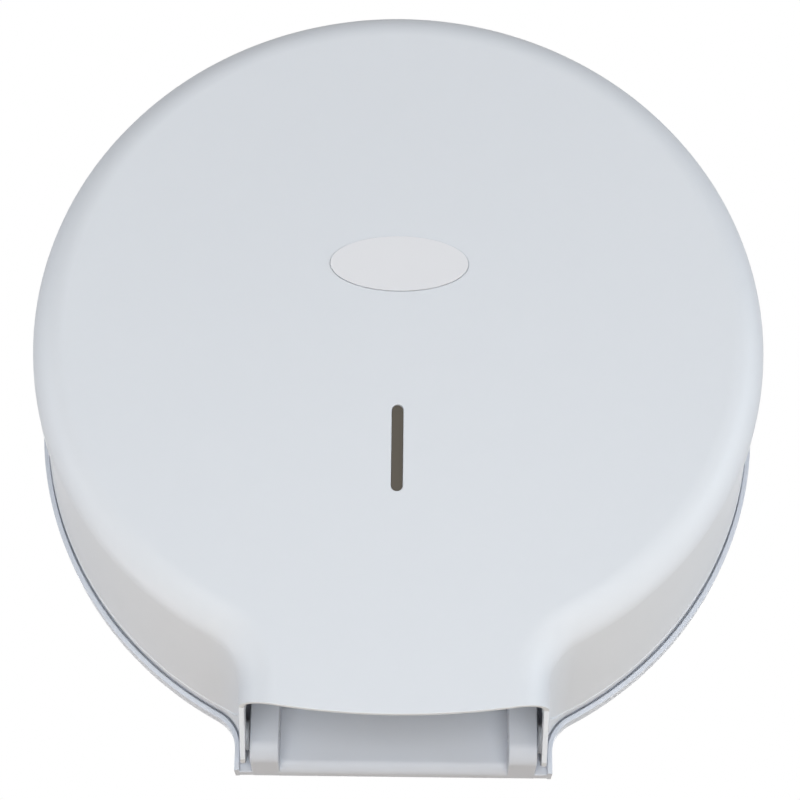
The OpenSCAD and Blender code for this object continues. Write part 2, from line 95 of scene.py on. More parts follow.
def distance_to(line: np.ndarray, points: np.ndarray) -> np.ndarray:
    """Shortest distance from each point to a closed polyline.

    Args:
        line: Corners in order, (n, 2).
        points: Points to measure from, (m, 2).

    Returns:
        The distances, (m,).
    """
    best = np.full(len(points), np.inf)
    for a, b in zip(line, np.roll(line, -1, axis=0)):
        along = b - a
        share = np.clip((points - a) @ along / max(along @ along, 1e-12), 0.0, 1.0)
        best = np.minimum(best, np.linalg.norm(points - a - share[:, None] * along, axis=1))
    return best


def region(border: np.ndarray, holes: Sequence[np.ndarray]) -> Callable[[np.ndarray], np.ndarray]:
    """Makes a test for points that lie inside a border and outside every hole.

    Args:
        border: The outer line's corners, (n, 2).
        holes: Each hole's corners.

    Returns:
        The test, which gives a truth value for each point.
    """

    def held(points: np.ndarray) -> np.ndarray:
        """Truth values for the points."""
        kept = in_polygon(border, points)
        for hole in holes:
            kept &= ~in_polygon(hole, points)
        return kept

    return held


@dataclass(frozen=True)
class Ring:
    """A line of points with the outward normal at each, closed unless it says otherwise."""

    points: np.ndarray
    normals: np.ndarray

    @staticmethod
    def rounded(corners: Sequence[Sequence[float]], radius: float | Sequence[float], steps: int = 6) -> "Ring":
        """A closed polygon whose corners are rounded to arcs.

        Args:
            corners: Corners in order, either way round.
            radius: Radius of every corner, or one for each.
            steps: Segments of a quarter turn.

        Returns:
            The ring, anticlockwise.
        """
        pts = np.array(corners, float)
        radii = np.full(len(pts), radius, float) if np.isscalar(radius) else np.array(radius, float)
        following = np.roll(pts, -1, axis=0)
        if np.sum(pts[:, 0] * following[:, 1] - following[:, 0] * pts[:, 1]) < 0:
            pts, radii = pts[::-1], radii[::-1]
        out, normals = [], []
        for i, (corner, r) in enumerate(zip(pts, radii)):
            before = unit(corner - pts[i - 1])
            after = unit(pts[(i + 1) % len(pts)] - corner)
            turn = math.atan2(before[0] * after[1] - before[1] * after[0], before @ after)
            reach = r * math.tan(abs(turn) / 2)
            side = np.array([before[1], -before[0]])
            start = math.atan2(side[1], side[0])
            way = 1.0 if turn > 0 else -1.0
            centre = corner - before * reach - side * r * way
            count = max(1, math.ceil(abs(turn) / (math.pi / 2) * steps))
            for angle in start + turn * np.arange(count + 1) / count:
                normal = np.array([math.cos(angle), math.sin(angle)])
                out.append(centre + normal * r * way)
                normals.append(normal)
        return Ring(np.array(out), np.array(normals))

    @staticmethod
    def box(low: Sequence[float], high: Sequence[float], radius: float, steps: int = 4) -> "Ring":
        """A rectangle with rounded corners, from its lowest and its highest corner."""
        return Ring.rounded([low, (high[0], low[1]), high, (low[0], high[1])], radius, steps)

    @staticmethod
    def ellipse(centre: Sequence[float], half: Sequence[float], count: int = 64) -> "Ring":
        """A closed oval about a centre, anticlockwise.

        Args:
            centre: Its middle.
            half: Its half width and half height.
            count: Number of points.

        Returns:
            The ring.
        """
        turn = np.linspace(0.0, math.tau, count, endpoint=False)
        way = np.column_stack([np.cos(turn), np.sin(turn)])
        return Ring(np.array(centre) + way * half, unit(way / np.array(half)))

    @staticmethod
    def slot(centre: Sequence[float], size: Sequence[float], steps: int = 12) -> "Ring":
        """An upright slot with round ends, from its centre and its width and height."""
        x, y = size[0] / 2, size[1] / 2
        corners = [(x, -y), (x, y), (-x, y), (-x, -y)]
        ring = Ring.rounded(corners, x * 0.999, steps)
        return Ring(ring.points + np.array(centre), ring.normals)

    def grown(self, by: float) -> "Ring":
        """The ring moved along its normals."""
        return Ring(self.points + self.normals * by, self.normals)


@dataclass(frozen=True)
class Placement:
    """Where a shape's own axes lie in the plan frame."""

    origin: tuple[float, float, float] = (0.0, 0.0, 0.0)
    across: tuple[float, float, float] = (1.0, 0.0, 0.0)
    along: tuple[float, float, float] = (0.0, 1.0, 0.0)

    def place(self, local: np.ndarray) -> np.ndarray:
        """Points given along the shape's axes, in the plan frame."""
        return self.turn(local) + np.array(self.origin)

    def turn(self, local: np.ndarray) -> np.ndarray:
        """Directions given along the shape's axes, in the plan frame."""
        u, v = np.array(self.across), np.array(self.along)
        return local @ np.array([u, v, np.cross(u, v)])


ACROSS = Placement(across=(0.0, 0.0, 1.0), along=(0.0, 1.0, 0.0))
"""Sections drawn in (height above the wall, y), whose third axis runs to the left."""


def triangulate(
    loops: Sequence[np.ndarray], lines: Sequence[np.ndarray], keep: Callable[[np.ndarray], np.ndarray]
) -> tuple[np.ndarray, np.ndarray]:
    """Fills a flat region with triangles that have the given lines among their edges.

    Args:
        loops: Closed lines, each (n, 2).
        lines: Open lines, each (n, 2).
        keep: Tells which of the triangles' centres belong to the region.

    Returns:
        The points used, (n, 2), and the triangles, (m, 3), anticlockwise.
    """
    points: list[np.ndarray] = []
    edges: list[tuple[int, int]] = []
    for chain, closed in [(c, True) for c in loops] + [(c, False) for c in lines]:
        first = len(points)
        points.extend(chain)
        edges.extend((first + i, first + i + 1) for i in range(len(chain) - 1))
        if closed:
            edges.append((first + len(chain) - 1, first))
    verts, _, faces, *_ = delaunay_2d_cdt([Vector(p) for p in points], edges, [], 0, 1e-5)
    flat = np.array([tuple(v) for v in verts])
    tris = np.array([f[:3] for f in faces])
    a, b, c = (flat[tris[:, k]] for k in range(3))
    area = (b[:, 0] - a[:, 0]) * (c[:, 1] - a[:, 1]) - (b[:, 1] - a[:, 1]) * (c[:, 0] - a[:, 0])
    tris[area < 0] = tris[area < 0][:, ::-1]
    tris = tris[(np.abs(area) > 1e-9) & keep((a + b + c) / 3)]
    used, tris = np.unique(tris, return_inverse=True)
    return flat[used], tris.reshape(-1, 3)


class Draft:
    """A mesh in the making: closed shells of points with their normals in the plan frame."""

    def __init__(self) -> None:
        """Starts with nothing drawn."""
        self.points: list[np.ndarray] = []
        self.normals: list[np.ndarray] = []
        self.faces: list[tuple[int, ...]] = []
        self.count = 0
        self.sealed = 0

    def add(self, points: np.ndarray, normals: np.ndarray) -> np.ndarray:
        """Adds points and gives their numbers, in the points' own shape."""
        shape = points.shape[:-1]
        self.points.append(points.reshape(-1, 3))
        self.normals.append(np.broadcast_to(normals, points.shape).reshape(-1, 3))
        numbers = np.arange(self.count, self.count + int(np.prod(shape))).reshape(shape)
        self.count += numbers.size
        return numbers

    def skin(self, rows: np.ndarray, closed: bool = True) -> None:
        """Joins rows of point numbers with quads, and each row's end to its start where it is closed."""
        after = np.roll(rows, -1, axis=1)
        if not closed:
            rows, after = rows[:, :-1], after[:, :-1]
        self.strips(rows, after)

    def strips(self, left: np.ndarray, right: np.ndarray) -> None:
        """Joins each row of left and right point numbers to the next row with quads."""
        quads = np.stack([left[:-1], left[1:], right[1:], right[:-1]], axis=-1)
        self.faces.extend(tuple(q) for q in quads.reshape(-1, 4).tolist())

    def cap(self, points: np.ndarray, facing: Sequence[float]) -> None:
        """Adds one flat face over a row of points."""
        self.faces.append(tuple(self.add(points, np.array(facing)).tolist()))

    def tile(self, numbers: np.ndarray, triangles: np.ndarray) -> None:
        """Adds triangles over points that are already there."""
        self.faces.extend(tuple(t) for t in numbers[triangles].tolist())

    def seal(self) -> None:
        """Ends a shell: turns each of its faces to the side that its points' normals look to."""
        points, normals = np.concatenate(self.points), np.concatenate(self.normals)
        fresh = self.faces[self.sealed:]
        for size in {len(f) for f in fresh}:
            picked = [i for i, f in enumerate(fresh) if len(f) == size]
            corners = np.array([fresh[i] for i in picked])
            around = points[corners] - points[corners[:, :1]]
            facing = np.cross(around, np.roll(around, -1, axis=1)).sum(axis=1)
            wrong = (facing * normals[corners].sum(axis=1)).sum(axis=1) < 0
            for i in np.array(picked)[wrong]:
                self.faces[self.sealed + i] = self.faces[self.sealed + i][::-1]
        self.sealed = len(self.faces)

    def prism(
        self,
        ring: Ring,
        low: float,
        top: float,
        bevel: float | tuple[float, float] = 0.3,
        place: Placement = Placement(),
        holes: Sequence[Ring] = (),
    ) -> None:
        """A straight shell with rounded edges over an outline, with holes through it.

        Args:
            ring: Its outline.
            low: Start along the third axis.
            top: End along the third axis.
            bevel: Radius of its edges, or one for the low end and one for the top.
            place: Where its axes lie.
            holes: Outlines of the holes, anticlockwise as all rings are.
        """
        bevels = (bevel, bevel) if np.isscalar(bevel) else bevel
        rims: list[list[np.ndarray]] = [[], []]
        flats: list[list[np.ndarray]] = [[], []]
        for outline, way in [(ring, 1.0)] + [(hole, -1.0) for hole in holes]:
            rows, normals = [], []
            for end, level, r in ((0, low, bevels[0]), (1, top, bevels[1])):
                sign = 2.0 * end - 1.0
                turns = np.linspace(0.0, math.pi / 2, 5)
                for turn in turns if end else turns[::-1]:
                    moved = outline.points - outline.normals * way * r * (1.0 - math.cos(turn))
                    height = level - sign * r * (1.0 - math.sin(turn))
                    rows.append(np.column_stack([moved, np.full(len(moved), height)]))
                    flat = outline.normals * way * math.cos(turn)
                    normals.append(np.column_stack([flat, np.full(len(moved), sign * math.sin(turn))]))
            numbers = self.add(place.place(np.array(rows)), place.turn(np.array(normals)))
            self.skin(numbers)
            for end, row in ((0, 0), (1, -1)):
                rims[end].append(numbers[row])
                flats[end].append(rows[row][:, :2])
        for end in (0, 1):
            plan, tris = triangulate(flats[end], [], region(flats[end][0], flats[end][1:]))
            known = np.concatenate(flats[end])
            numbers = np.concatenate(rims[end])
            nearest = np.array([np.argmin(((known - p) ** 2).sum(axis=1)) for p in plan])
            self.tile(numbers[nearest], tris)
        self.seal()

    def lathe(self, profile: Ring, place: Placement = Placement(), count: int = 64) -> None:
        """A turned shell: a closed profile of (radius, height) carried round the third axis.

        Args:
            profile: Its section, clear of the axis.
            place: Where its axes lie.
            count: Segments of a full turn.
        """
        turn = np.linspace(0.0, math.tau, count, endpoint=False)[:, None]
        radius, height = profile.points[:, 0], profile.points[:, 1]
        rows = np.stack(
            [radius * np.cos(turn), radius * np.sin(turn), np.broadcast_to(height, (count, len(height)))], axis=-1
        )
        out, up = profile.normals[:, 0], profile.normals[:, 1]
        normals = np.stack([out * np.cos(turn), out * np.sin(turn), np.broadcast_to(up, (count, len(up)))], axis=-1)
        numbers = self.add(place.place(rows), place.turn(normals))
        self.skin(np.vstack([numbers, numbers[:1]]))
        self.seal()

    def build(self, name: str) -> bpy.types.Object:
        """Makes the Blender object, in metres, standing on the wall.

        Args:
            name: Name of the object and its mesh.

        Returns:
            The object, linked to the scene.
        """
        points, normals = np.concatenate(self.points), np.concatenate(self.normals)
        mesh = bpy.data.meshes.new(name)
        mesh.from_pydata((stand(points) * MM).tolist(), [], self.faces)
        mesh.validate(clean_customdata=False)
        mesh.shade_smooth()
        mesh.normals_split_custom_set_from_vertices(stand(unit(normals)).tolist())
        mesh.update()
        made = bpy.data.objects.new(name, mesh)
        bpy.context.scene.collection.objects.link(made)
        return made


def stand(plan: np.ndarray) -> np.ndarray:
    """Turns plan points or directions to the scene's frame, where the wall stands and z is up."""
    return np.stack([plan[..., 0], -plan[..., 2], plan[..., 1]], axis=-1)


def smooth_cad(node: bpy.types.Object, angle: float = 32.0) -> None:
    """Gives a CAD node smooth normals across its soft edges, and leaves its mesh as it is.

    Args:
        node: The node's object.
        angle: Faces that meet at less than this many degrees shade as one.
    """
    mesh = node.data
    mesh.shade_smooth()
    corners = np.zeros(len(mesh.loops), int)
    mesh.loops.foreach_get("vertex_index", corners)
    co = np.zeros(len(mesh.vertices) * 3)
    mesh.vertices.foreach_get("co", co)
    _, same = np.unique(np.round(co.reshape(-1, 3) * 1e6).astype(int), axis=0, return_inverse=True)
    same = same.reshape(-1)
    face_of = np.repeat(np.arange(len(mesh.polygons)), [len(p.vertices) for p in mesh.polygons])
    flat = np.array([tuple(p.normal) for p in mesh.polygons])
    area = np.array([p.area for p in mesh.polygons])
    spots = same[corners]
    order = np.argsort(spots, kind="stable")
    starts = np.flatnonzero(np.r_[True, np.diff(spots[order]) > 0, True])
    normals = np.zeros((len(corners), 3))
    limit = math.cos(math.radians(angle))
    for lo, hi in zip(starts[:-1], starts[1:]):
        members = order[lo:hi]
        faces = face_of[members]
        alike = (flat[faces] @ flat[faces].T) > limit
        normals[members] = alike @ (flat[faces] * area[faces][:, None])
    mesh.normals_split_custom_set(unit(normals).tolist())


# ---- Finishes ----


class Slot(Enum):
    """The record's material slots."""

    COVER = "cover_plastic"
    PLATE = "plate_plastic"
    WINDOW = "window_smoked"
    BADGE = "badge_blank"
    HUB = "hub_plastic"
    WASHER = "washer_felt"
    STEEL = "steel"
    LOCK = "lock_metal"


def linear(red: float, green: float, blue: float) -> tuple[float, float, float, float]:
    """A colour written as it looks on screen, from 0 to 255, as Blender's sockets take it."""
    share = [c / 255 for c in (red, green, blue)]
    return (*(c / 12.92 if c <= 0.04045 else ((c + 0.055) / 1.055) ** 2.4 for c in share), 1.0)


def add_node(
    tree: bpy.types.NodeTree, kind: str, inputs: dict[str | int, object] | None = None, **settings: str
) -> bpy.types.Node:
    """Adds a shader node.

    Args:
        tree: The tree to add it to.
        kind: Its type.
        inputs: For each input, the socket that it is linked to, or its value.
        settings: The node's own settings.

    Returns:
        The node.
    """
    node = tree.nodes.new(kind)
    for name, value in settings.items():
        setattr(node, name, value)
    for key, value in (inputs or {}).items():
        if isinstance(value, bpy.types.NodeSocket):
            tree.links.new(value, node.inputs[key])
        else:
            node.inputs[key].default_value = value
    return node


@dataclass(frozen=True)
class Finish:
    """A surface finish that is made of nodes: a colour with a faint, broad drift, and a fine grain."""

    name: str
    colour: tuple[float, float, float]
    roughness: float
    drift: float = 0.015
    drift_size: float = 14.0
    grain: float = 0.02
    grain_size: float = 0.25
    metallic: float = 0.0
    specular: float = 0.5

    def material(self) -> bpy.types.Material:
        """The Blender material, made once and shared by the pieces that have this finish."""
        return bpy.data.materials.get(self.name) or self.make()

    def make(self) -> bpy.types.Material:
        """Builds the material's nodes.

        Returns:
            The new material.
        """
        made = bpy.data.materials.new(self.name)
        made.use_nodes = True
        tree = made.node_tree
        shader = tree.nodes["Principled BSDF"]
        shader.inputs["Metallic"].default_value = self.metallic
        shader.inputs["Specular IOR Level"].default_value = self.specular
        where = add_node(tree, "ShaderNodeTexCoord")
        scaled = {"Vector": where.outputs["Object"], "Scale": (1.0 / MM,) * 3}
        place = add_node(tree, "ShaderNodeMapping", scaled).outputs["Vector"]
        broad, fine = self.noise(tree, place, self.drift_size), self.noise(tree, place, self.grain_size)

        base = linear(*self.colour)
        shades = {
            "A": (*(c * (1.0 - self.drift) for c in base[:3]), 1.0),
            "B": (*(min(1.0, c * (1.0 + self.drift)) for c in base[:3]), 1.0),
            "Factor": broad,
        }
        tint = add_node(tree, "ShaderNodeMix", shades, data_type="RGBA")
        tree.links.new(tint.outputs["Result"], shader.inputs["Base Color"])

        span = {"To Min": max(0.02, self.roughness * 0.9), "To Max": min(1.0, self.roughness * 1.1), "Value": fine}
        matt = add_node(tree, "ShaderNodeMapRange", span)
        tree.links.new(matt.outputs["Result"], shader.inputs["Roughness"])

        bump = add_node(tree, "ShaderNodeBump", {"Strength": 1.0, "Distance": self.grain * MM, "Height": fine})
        tree.links.new(bump.outputs["Normal"], shader.inputs["Normal"])
        return made

    @staticmethod
    def noise(tree: bpy.types.NodeTree, place: bpy.types.NodeSocket, size: float) -> bpy.types.NodeSocket:
        """Noise whose features are about this many millimetres across."""
        values = {"Scale": 1.0 / size, "Detail": 2.0, "Vector": place}
        return add_node(tree, "ShaderNodeTexNoise", values).outputs["Fac"]


COVER_PLASTIC = Finish("Cover plastic", (220, 224, 231), 0.46, drift=0.006, grain=0.004, grain_size=0.6, specular=0.4)
PLATE_PLASTIC = Finish("Plate plastic", (202, 207, 217), 0.5, drift=0.008, grain=0.006, grain_size=0.6, specular=0.4)
HUB_PLASTIC = Finish("Hub plastic", (214, 217, 222), 0.42, drift=0.008, grain=0.004, grain_size=0.6)
SMOKED_PLASTIC = Finish("Smoked window plastic", (82, 76, 67), 0.3, drift=0.02, grain=0.002, grain_size=0.6)
BADGE_PLASTIC = Finish("Blank badge", (226, 227, 232), 0.36, drift=0.006, grain=0.002, grain_size=0.6)
FELT = Finish("Friction washer felt", (70, 70, 74), 0.95, drift=0.18, grain=0.25, grain_size=0.5, specular=0.1)
STEEL = Finish("Zinc-plated steel", (196, 198, 202), 0.34, drift=0.03, grain=0.01, grain_size=0.3, metallic=1.0)
PIN_STEEL = Finish("Turned steel", (200, 201, 204), 0.26, drift=0.02, grain=0.01, grain_size=0.2, metallic=1.0)
LOCK_CHROME = Finish("Lock chrome", (205, 206, 208), 0.2, drift=0.02, grain=0.004, grain_size=0.4, metallic=1.0)


def dress(piece: bpy.types.Object, finish: Finish) -> None:
    """Gives a piece its finish."""
    piece.data.materials.clear()
    piece.data.materials.append(finish.material())
    log.info("%s: %d faces, %s", piece.name, len(piece.data.polygons), finish.name)


# ---- The shapes that the cover and the plate share ----


@dataclass(frozen=True)
class Outline:
    """Plan of the body: a circle that runs through concave fillets into a straight neck at the bottom.

    A run is the length along the outline from its top, positive to the right. An offset is outwards.
    """

    body_r: float = 134.0
    neck_half: float = 53.7
    fillet_r: float = 20.0

    @cached_property
    def wedge(self) -> float:
        """Half the angle that the neck takes out of the circle."""
        return math.asin((self.neck_half + self.fillet_r) / (self.body_r + self.fillet_r))

    @cached_property
    def fillet_y(self) -> float:
        """Height of the fillets' centres."""
        return -(self.body_r + self.fillet_r) * math.cos(self.wedge)

    @cached_property
    def body_run(self) -> float:
        """Run at which the circle ends."""
        return self.body_r * (math.pi - self.wedge)

    @cached_property
    def turn_run(self) -> float:
        """Run at which the fillet ends and the straight neck starts."""
        return self.body_run + self.fillet_r * (math.pi / 2 - self.wedge)

    def at(self, run: np.ndarray, offset: np.ndarray | float = 0.0) -> tuple[np.ndarray, np.ndarray]:
        """Plan points and outward normals.

        Args:
            run: Runs, (n,).
            offset: Offset of each point from the outline.

        Returns:
            Points and normals, (n, 2) each.
        """
        run = np.asarray(run, float)
        side, along = np.where(run < 0, -1.0, 1.0), np.abs(run)
        body = along / self.body_r
        turn = math.pi / 2 + self.wedge + (along - self.body_run) / self.fillet_r
        on_body, on_turn = along <= self.body_run, along <= self.turn_run
        normal_x = np.where(on_body, np.sin(body), np.where(on_turn, -np.cos(turn), 1.0))
        normal_y = np.where(on_body, np.cos(body), np.where(on_turn, -np.sin(turn), 0.0))
        centre_x = np.where(on_body, 0.0, self.neck_half + self.fillet_r)
        centre_y = np.where(on_body, 0.0, np.where(on_turn, self.fillet_y, self.fillet_y - (along - self.turn_run)))
        radius = np.where(on_body, self.body_r + offset, offset - self.fillet_r)
        x, y = centre_x + normal_x * radius, centre_y + normal_y * radius
        return np.column_stack([x * side, y]), np.column_stack([normal_x * side, normal_y])

    def run_at(self, y: np.ndarray, offset: np.ndarray | float = 0.0) -> np.ndarray:
        """Run, on the right, at which the offset outline is at a height y on its lower half.

        Args:
            y: Heights, below the spindle axis.
            offset: Offset of the outline for each.

        Returns:
            The runs.
        """
        y = np.asarray(y, float)
        join = self.fillet_y + (self.fillet_r - offset) * math.cos(self.wedge)
        body = self.body_r * np.arccos(np.clip(y / (self.body_r + offset), -1.0, 1.0))
        turn = self.turn_run - self.fillet_r * np.arcsin(np.clip((y - self.fillet_y) / (self.fillet_r - offset), 0, 1))
        neck = self.turn_run + self.fillet_y - y
        return np.where(y > join, body, np.where(y > self.fillet_y, turn, neck))

    def stations(self, end: float, step: float = 1.5, turn_steps: int = 14) -> np.ndarray:
        """Runs to draw the outline at, from one end to the other.

        Args:
            end: Run of the last one on the neck.
            step: Degrees between those on the circle.
            turn_steps: Segments of each fillet.

        Returns:
            The runs, in order, with both ends.
        """
        on_body = np.linspace(0.0, self.body_run, math.ceil(math.degrees(self.body_run / self.body_r) / step) + 1)
        on_turn = np.linspace(self.body_run, self.turn_run, turn_steps + 1)[1:]
        on_neck = np.linspace(self.turn_run, end, max(2, math.ceil((end - self.turn_run) / 2.0) + 1))[1:]
        right = np.concatenate([on_body, on_turn, on_neck])
        return np.concatenate([-right[:0:-1], right])


OUTLINE = Outline()


@dataclass(frozen=True)
class SideProfile:
    """Section of the cover's side, from its rear edge up the drafted wall and round the rim to the face."""

    rear: float = 5.2
    rim_start: float = 85.0
    rim_r: float = 13.0
    draft: float = 2.6

    @cached_property
    def lean(self) -> float:
        """Draft in radians."""
        return math.radians(self.draft)

    @cached_property
    def foot(self) -> np.ndarray:
        """Offset and height of the rear edge."""
        return np.array([self.flare(self.rear), self.rear])

    @cached_property
    def shoulder(self) -> np.ndarray:
        """Offset and height at which the rim's arc starts."""
        out = self.rim_r * (math.cos(self.lean) - 1.0)
        return np.array([out, self.rim_start + self.rim_r * math.sin(self.lean)])

    @cached_property
    def wall_len(self) -> float:
        """Length of the drafted wall."""
        return float(np.linalg.norm(self.shoulder - self.foot))

    @cached_property
    def length(self) -> float:
        """Length of the whole section."""
        return self.wall_len + self.rim_r * (math.pi / 2 - self.lean)

    def flare(self, height: float) -> float:
        """How far the drafted wall stands out at a height above the wall."""
        return (self.rim_start - height) * math.tan(self.lean)

    def climb_at(self, height: float | np.ndarray) -> float | np.ndarray:
        """Climb, the length along the section from its rear edge, of a height on the wall."""
        return (height - self.rear) / math.cos(self.lean)

    def at(self, climb: np.ndarray) -> tuple[np.ndarray, np.ndarray, np.ndarray]:
        """Offset, height and steepness of the section.

        Args:
            climb: Lengths along the section from its rear edge.

        Returns:
            Offset, height, and the angle by which the surface's normal is raised from the plan.
        """
        climb = np.asarray(climb, float)
        share = climb / self.wall_len
        raised = self.lean + np.maximum(0.0, climb - self.wall_len) / self.rim_r
        on_wall = climb <= self.wall_len
        offset = np.where(on_wall, self.foot[0] + (self.shoulder[0] - self.foot[0]) * share,
                          self.rim_r * (np.cos(raised) - 1.0))
        height = np.where(on_wall, self.foot[1] + (self.shoulder[1] - self.foot[1]) * share,
                          self.rim_start + self.rim_r * np.sin(raised))
        return offset, height, np.where(on_wall, self.lean, raised)


SIDE = SideProfile()
COVER_WALL = 2.0


@dataclass(frozen=True)
class Hinge:
    """The cover's hinge: a pin through each of the plate's lugs, inside the rounded ends of the cover's neck."""

    y: float = -132.0
    out: float = 15.5
    ear_r: float = 10.3
    pin_r: float = 2.5
    lug_depth: float = 25.0
    lug_w: float = 10.6
    lug_gap: float = 1.4

    @cached_property
    def lug_outer(self) -> float:
        """Distance of a lug's outer side from the middle."""
        return OUTLINE.neck_half + SIDE.flare(self.lug_depth) - COVER_WALL - self.lug_gap


HINGE = Hinge()


# ---- Front cover ----


@dataclass(frozen=True)
class Skin:
    """One side of a moulding: triangles over points with normals, and the way through the wall at each point."""

    points: np.ndarray
    normals: np.ndarray
    through: np.ndarray
    triangles: np.ndarray

    def joined(self, other: "Skin") -> "Skin":
        """This skin and another as one, with the points that they share made one.

        Args:
            other: The skin to join on.

        Returns:
            The joined skin.
        """
        points = np.vstack([self.points, other.points])
        normals = np.vstack([self.normals, other.normals])
        through = np.vstack([self.through, other.through])
        triangles = np.vstack([self.triangles, other.triangles + len(self.points)])
        _, first, same = np.unique(np.round(points * 1e3).astype(int), axis=0, return_index=True, return_inverse=True)
        return Skin(points[first], normals[first], through[first], same.reshape(-1)[triangles])

    def borders(self) -> list[np.ndarray]:
        """Closed rows of point numbers round the skin and its holes, each with the skin on its left."""
        edges = np.concatenate([self.triangles[:, [0, 1]], self.triangles[:, [1, 2]], self.triangles[:, [2, 0]]])
        known = set(map(tuple, edges.tolist()))
        following = {a: b for a, b in known if (b, a) not in known}
        found = []
        while following:
            start, at = following.popitem()
            row = [start]
            while at != start:
                row.append(at)
                at = following.pop(at)
            found.append(np.array(row))
        return sorted(found, key=len, reverse=True)

    def inward(self, row: np.ndarray) -> np.ndarray:
        """Directions at a border that lie in the surface and point into the skin."""
        points = self.points[row]
        along = unit(np.roll(points, -1, axis=0) - points) + unit(points - np.roll(points, 1, axis=0))
        return unit(np.cross(self.normals[row], along))


@dataclass(frozen=True)
class FrontCover:
    """The moulded cover: a deep round shell with a soft rim, a set-in side panel and a toothed neck.

    Heights, such as the panel's top, are above the wall. The rows and rings are lines that the triangles follow.
    """

    crown: float = 1.2
    crown_r: float = 119.0
    neck_drop: float = 147.0
    bottom_arc_r: float = 280.0
    tooth_pitch: float = 4.0
    tooth_h: float = 1.8
    edge_r: float = 0.35
    panel_low: float = 13.6
    panel_top: float = 79.0
    panel_inset: float = 1.0
    panel_ramp: float = 0.5
    panel_rear: float = 0.22
    panel_rise: float = 18.0
    panel_stop: float = 5.7
    panel_turn: float = 11.5
    panel_turn_h: float = 30.0
    panel_nook: float = 3.0
    lip_top: float = 13.2
    lip_lean: float = 0.08
    slot_size: tuple[float, float] = (4.2, 33.0)
    slot_drop: float = 49.5
    badge_half: tuple[float, float] = (25.4, 11.25)
    badge_rise: float = 23.0
    badge_depth: float = 0.75
    lock_out: float = 22.0
    lock_bore: float = 7.6
    lock_pad_r: float = 11.0
    lock_pad_t: float = 4.2
    window_lap: tuple[float, float] = (4.0, 7.0)
    window_drop: float = 0.6
    stake_gap: float = 3.4
    stake_r: float = 1.0
    stake_head_r: float = 1.7
    pin_gap: float = 0.05
    boss_t: float = 3.0
    boss_gap: float = 0.35
    side_rows: tuple[float, ...] = (7.0, 10.0, 22.0, 31.2, 46.0, 62.0, 82.0)
    panel_rings: tuple[float, ...] = (-0.12, 0.0, 0.13, 0.26, 0.4)
    face_rings: tuple[float, ...] = (20.0, 42.0, 62.0, 80.0, 96.0, 109.0)
    hole_rings: tuple[float, ...] = (1.2, 4.0)

    # -- the side --

    def face_height(self, r: np.ndarray) -> np.ndarray:
        """Height of the face, which is crowned and meets the rim without a crease."""
        rim_top = SIDE.rim_start + SIDE.rim_r
        return rim_top + self.crown * np.maximum(0.0, 1.0 - (r / self.crown_r) ** 2) ** 2

    def neck_end(self) -> np.ndarray:
        """The neck's lower edge on the right: rows of (run, climb) from the rear edge to the face."""
        turn = np.radians(np.arange(0.0, 90.1, 7.5))
        heights = list(HINGE.out - HINGE.ear_r * np.cos(turn))
        levels = list(HINGE.y - HINGE.ear_r * np.sin(turn))
        tip = HINGE.y - HINGE.ear_r
        first = HINGE.out + self.tooth_pitch
        count = int((SIDE.rim_start - first) / self.tooth_pitch)
        for half in range(2 * count + 2):
            heights.append(first + half * self.tooth_pitch / 2)
            levels.append(tip + (half % 2) * self.tooth_h)
        climbs = [SIDE.climb_at(h) for h in heights]
        rim = np.linspace(SIDE.wall_len, SIDE.length, 13)
        climbs += list(rim)
        offsets, _, _ = SIDE.at(np.array(climbs))
        x = OUTLINE.neck_half + offsets[-len(rim):]
        levels += list(self.bottom_y(x))
        return np.column_stack([OUTLINE.run_at(np.array(levels), offsets), climbs])

    def bottom_y(self, x: np.ndarray) -> np.ndarray:
        """Height of the front's lower edge, a shallow arc."""
        return self.bottom_arc_r - self.neck_drop - np.sqrt(self.bottom_arc_r**2 - x**2)

    def panel_edge(self) -> np.ndarray:
        """The outline of the set-in panel: a closed row of (run, climb), anticlockwise."""
        end = OUTLINE.fillet_y + self.panel_stop
        rear, front = self.panel_low, self.panel_top
        turn = np.radians(np.linspace(0.0, 90.0, 19))
        heights = list(rear + self.panel_turn_h * (1.0 - np.cos(turn)))
        levels = list(end + self.panel_turn * (1.0 - np.sin(turn)))
        turn = np.radians(np.linspace(90.0, 0.0, 9))
        heights += list(front - self.panel_nook * (1.0 - np.cos(turn)))
        levels += list(end + self.panel_nook * (1.0 - np.sin(turn)))
        climbs = SIDE.climb_at(np.array(heights))
        offsets, _, _ = SIDE.at(climbs)
        right = np.column_stack([OUTLINE.run_at(np.array(levels), offsets - self.panel_inset / 2), climbs])
        left = right[::-1] * (-1.0, 1.0)
        long_run = np.arange(-OUTLINE.body_run + 12.0, OUTLINE.body_run - 11.0, 6.0)
        low = np.column_stack([long_run, np.full(len(long_run), climbs[0])])
        high = np.column_stack([long_run[::-1], np.full(len(long_run), climbs[-1])])
        return np.vstack([low, right, high, left])

    def panel_depth(self, edge: np.ndarray, spots: np.ndarray) -> np.ndarray:
        """How far the side is set in at points of (run, climb): the panel, and the lip that leans in behind it."""
        near = distance_to(edge, spots)
        held = in_polygon(edge, spots)
        above = spots[:, 1] - SIDE.climb_at(self.lip_top)
        inset = self.panel_inset * (self.panel_rear + (1.0 - self.panel_rear) * np.clip(above / self.panel_rise, 0, 1))
        step = ease((np.where(held, near, -near) + 0.12) / self.panel_ramp)
        return inset * step + self.lip_lean * np.maximum(0.0, -above)

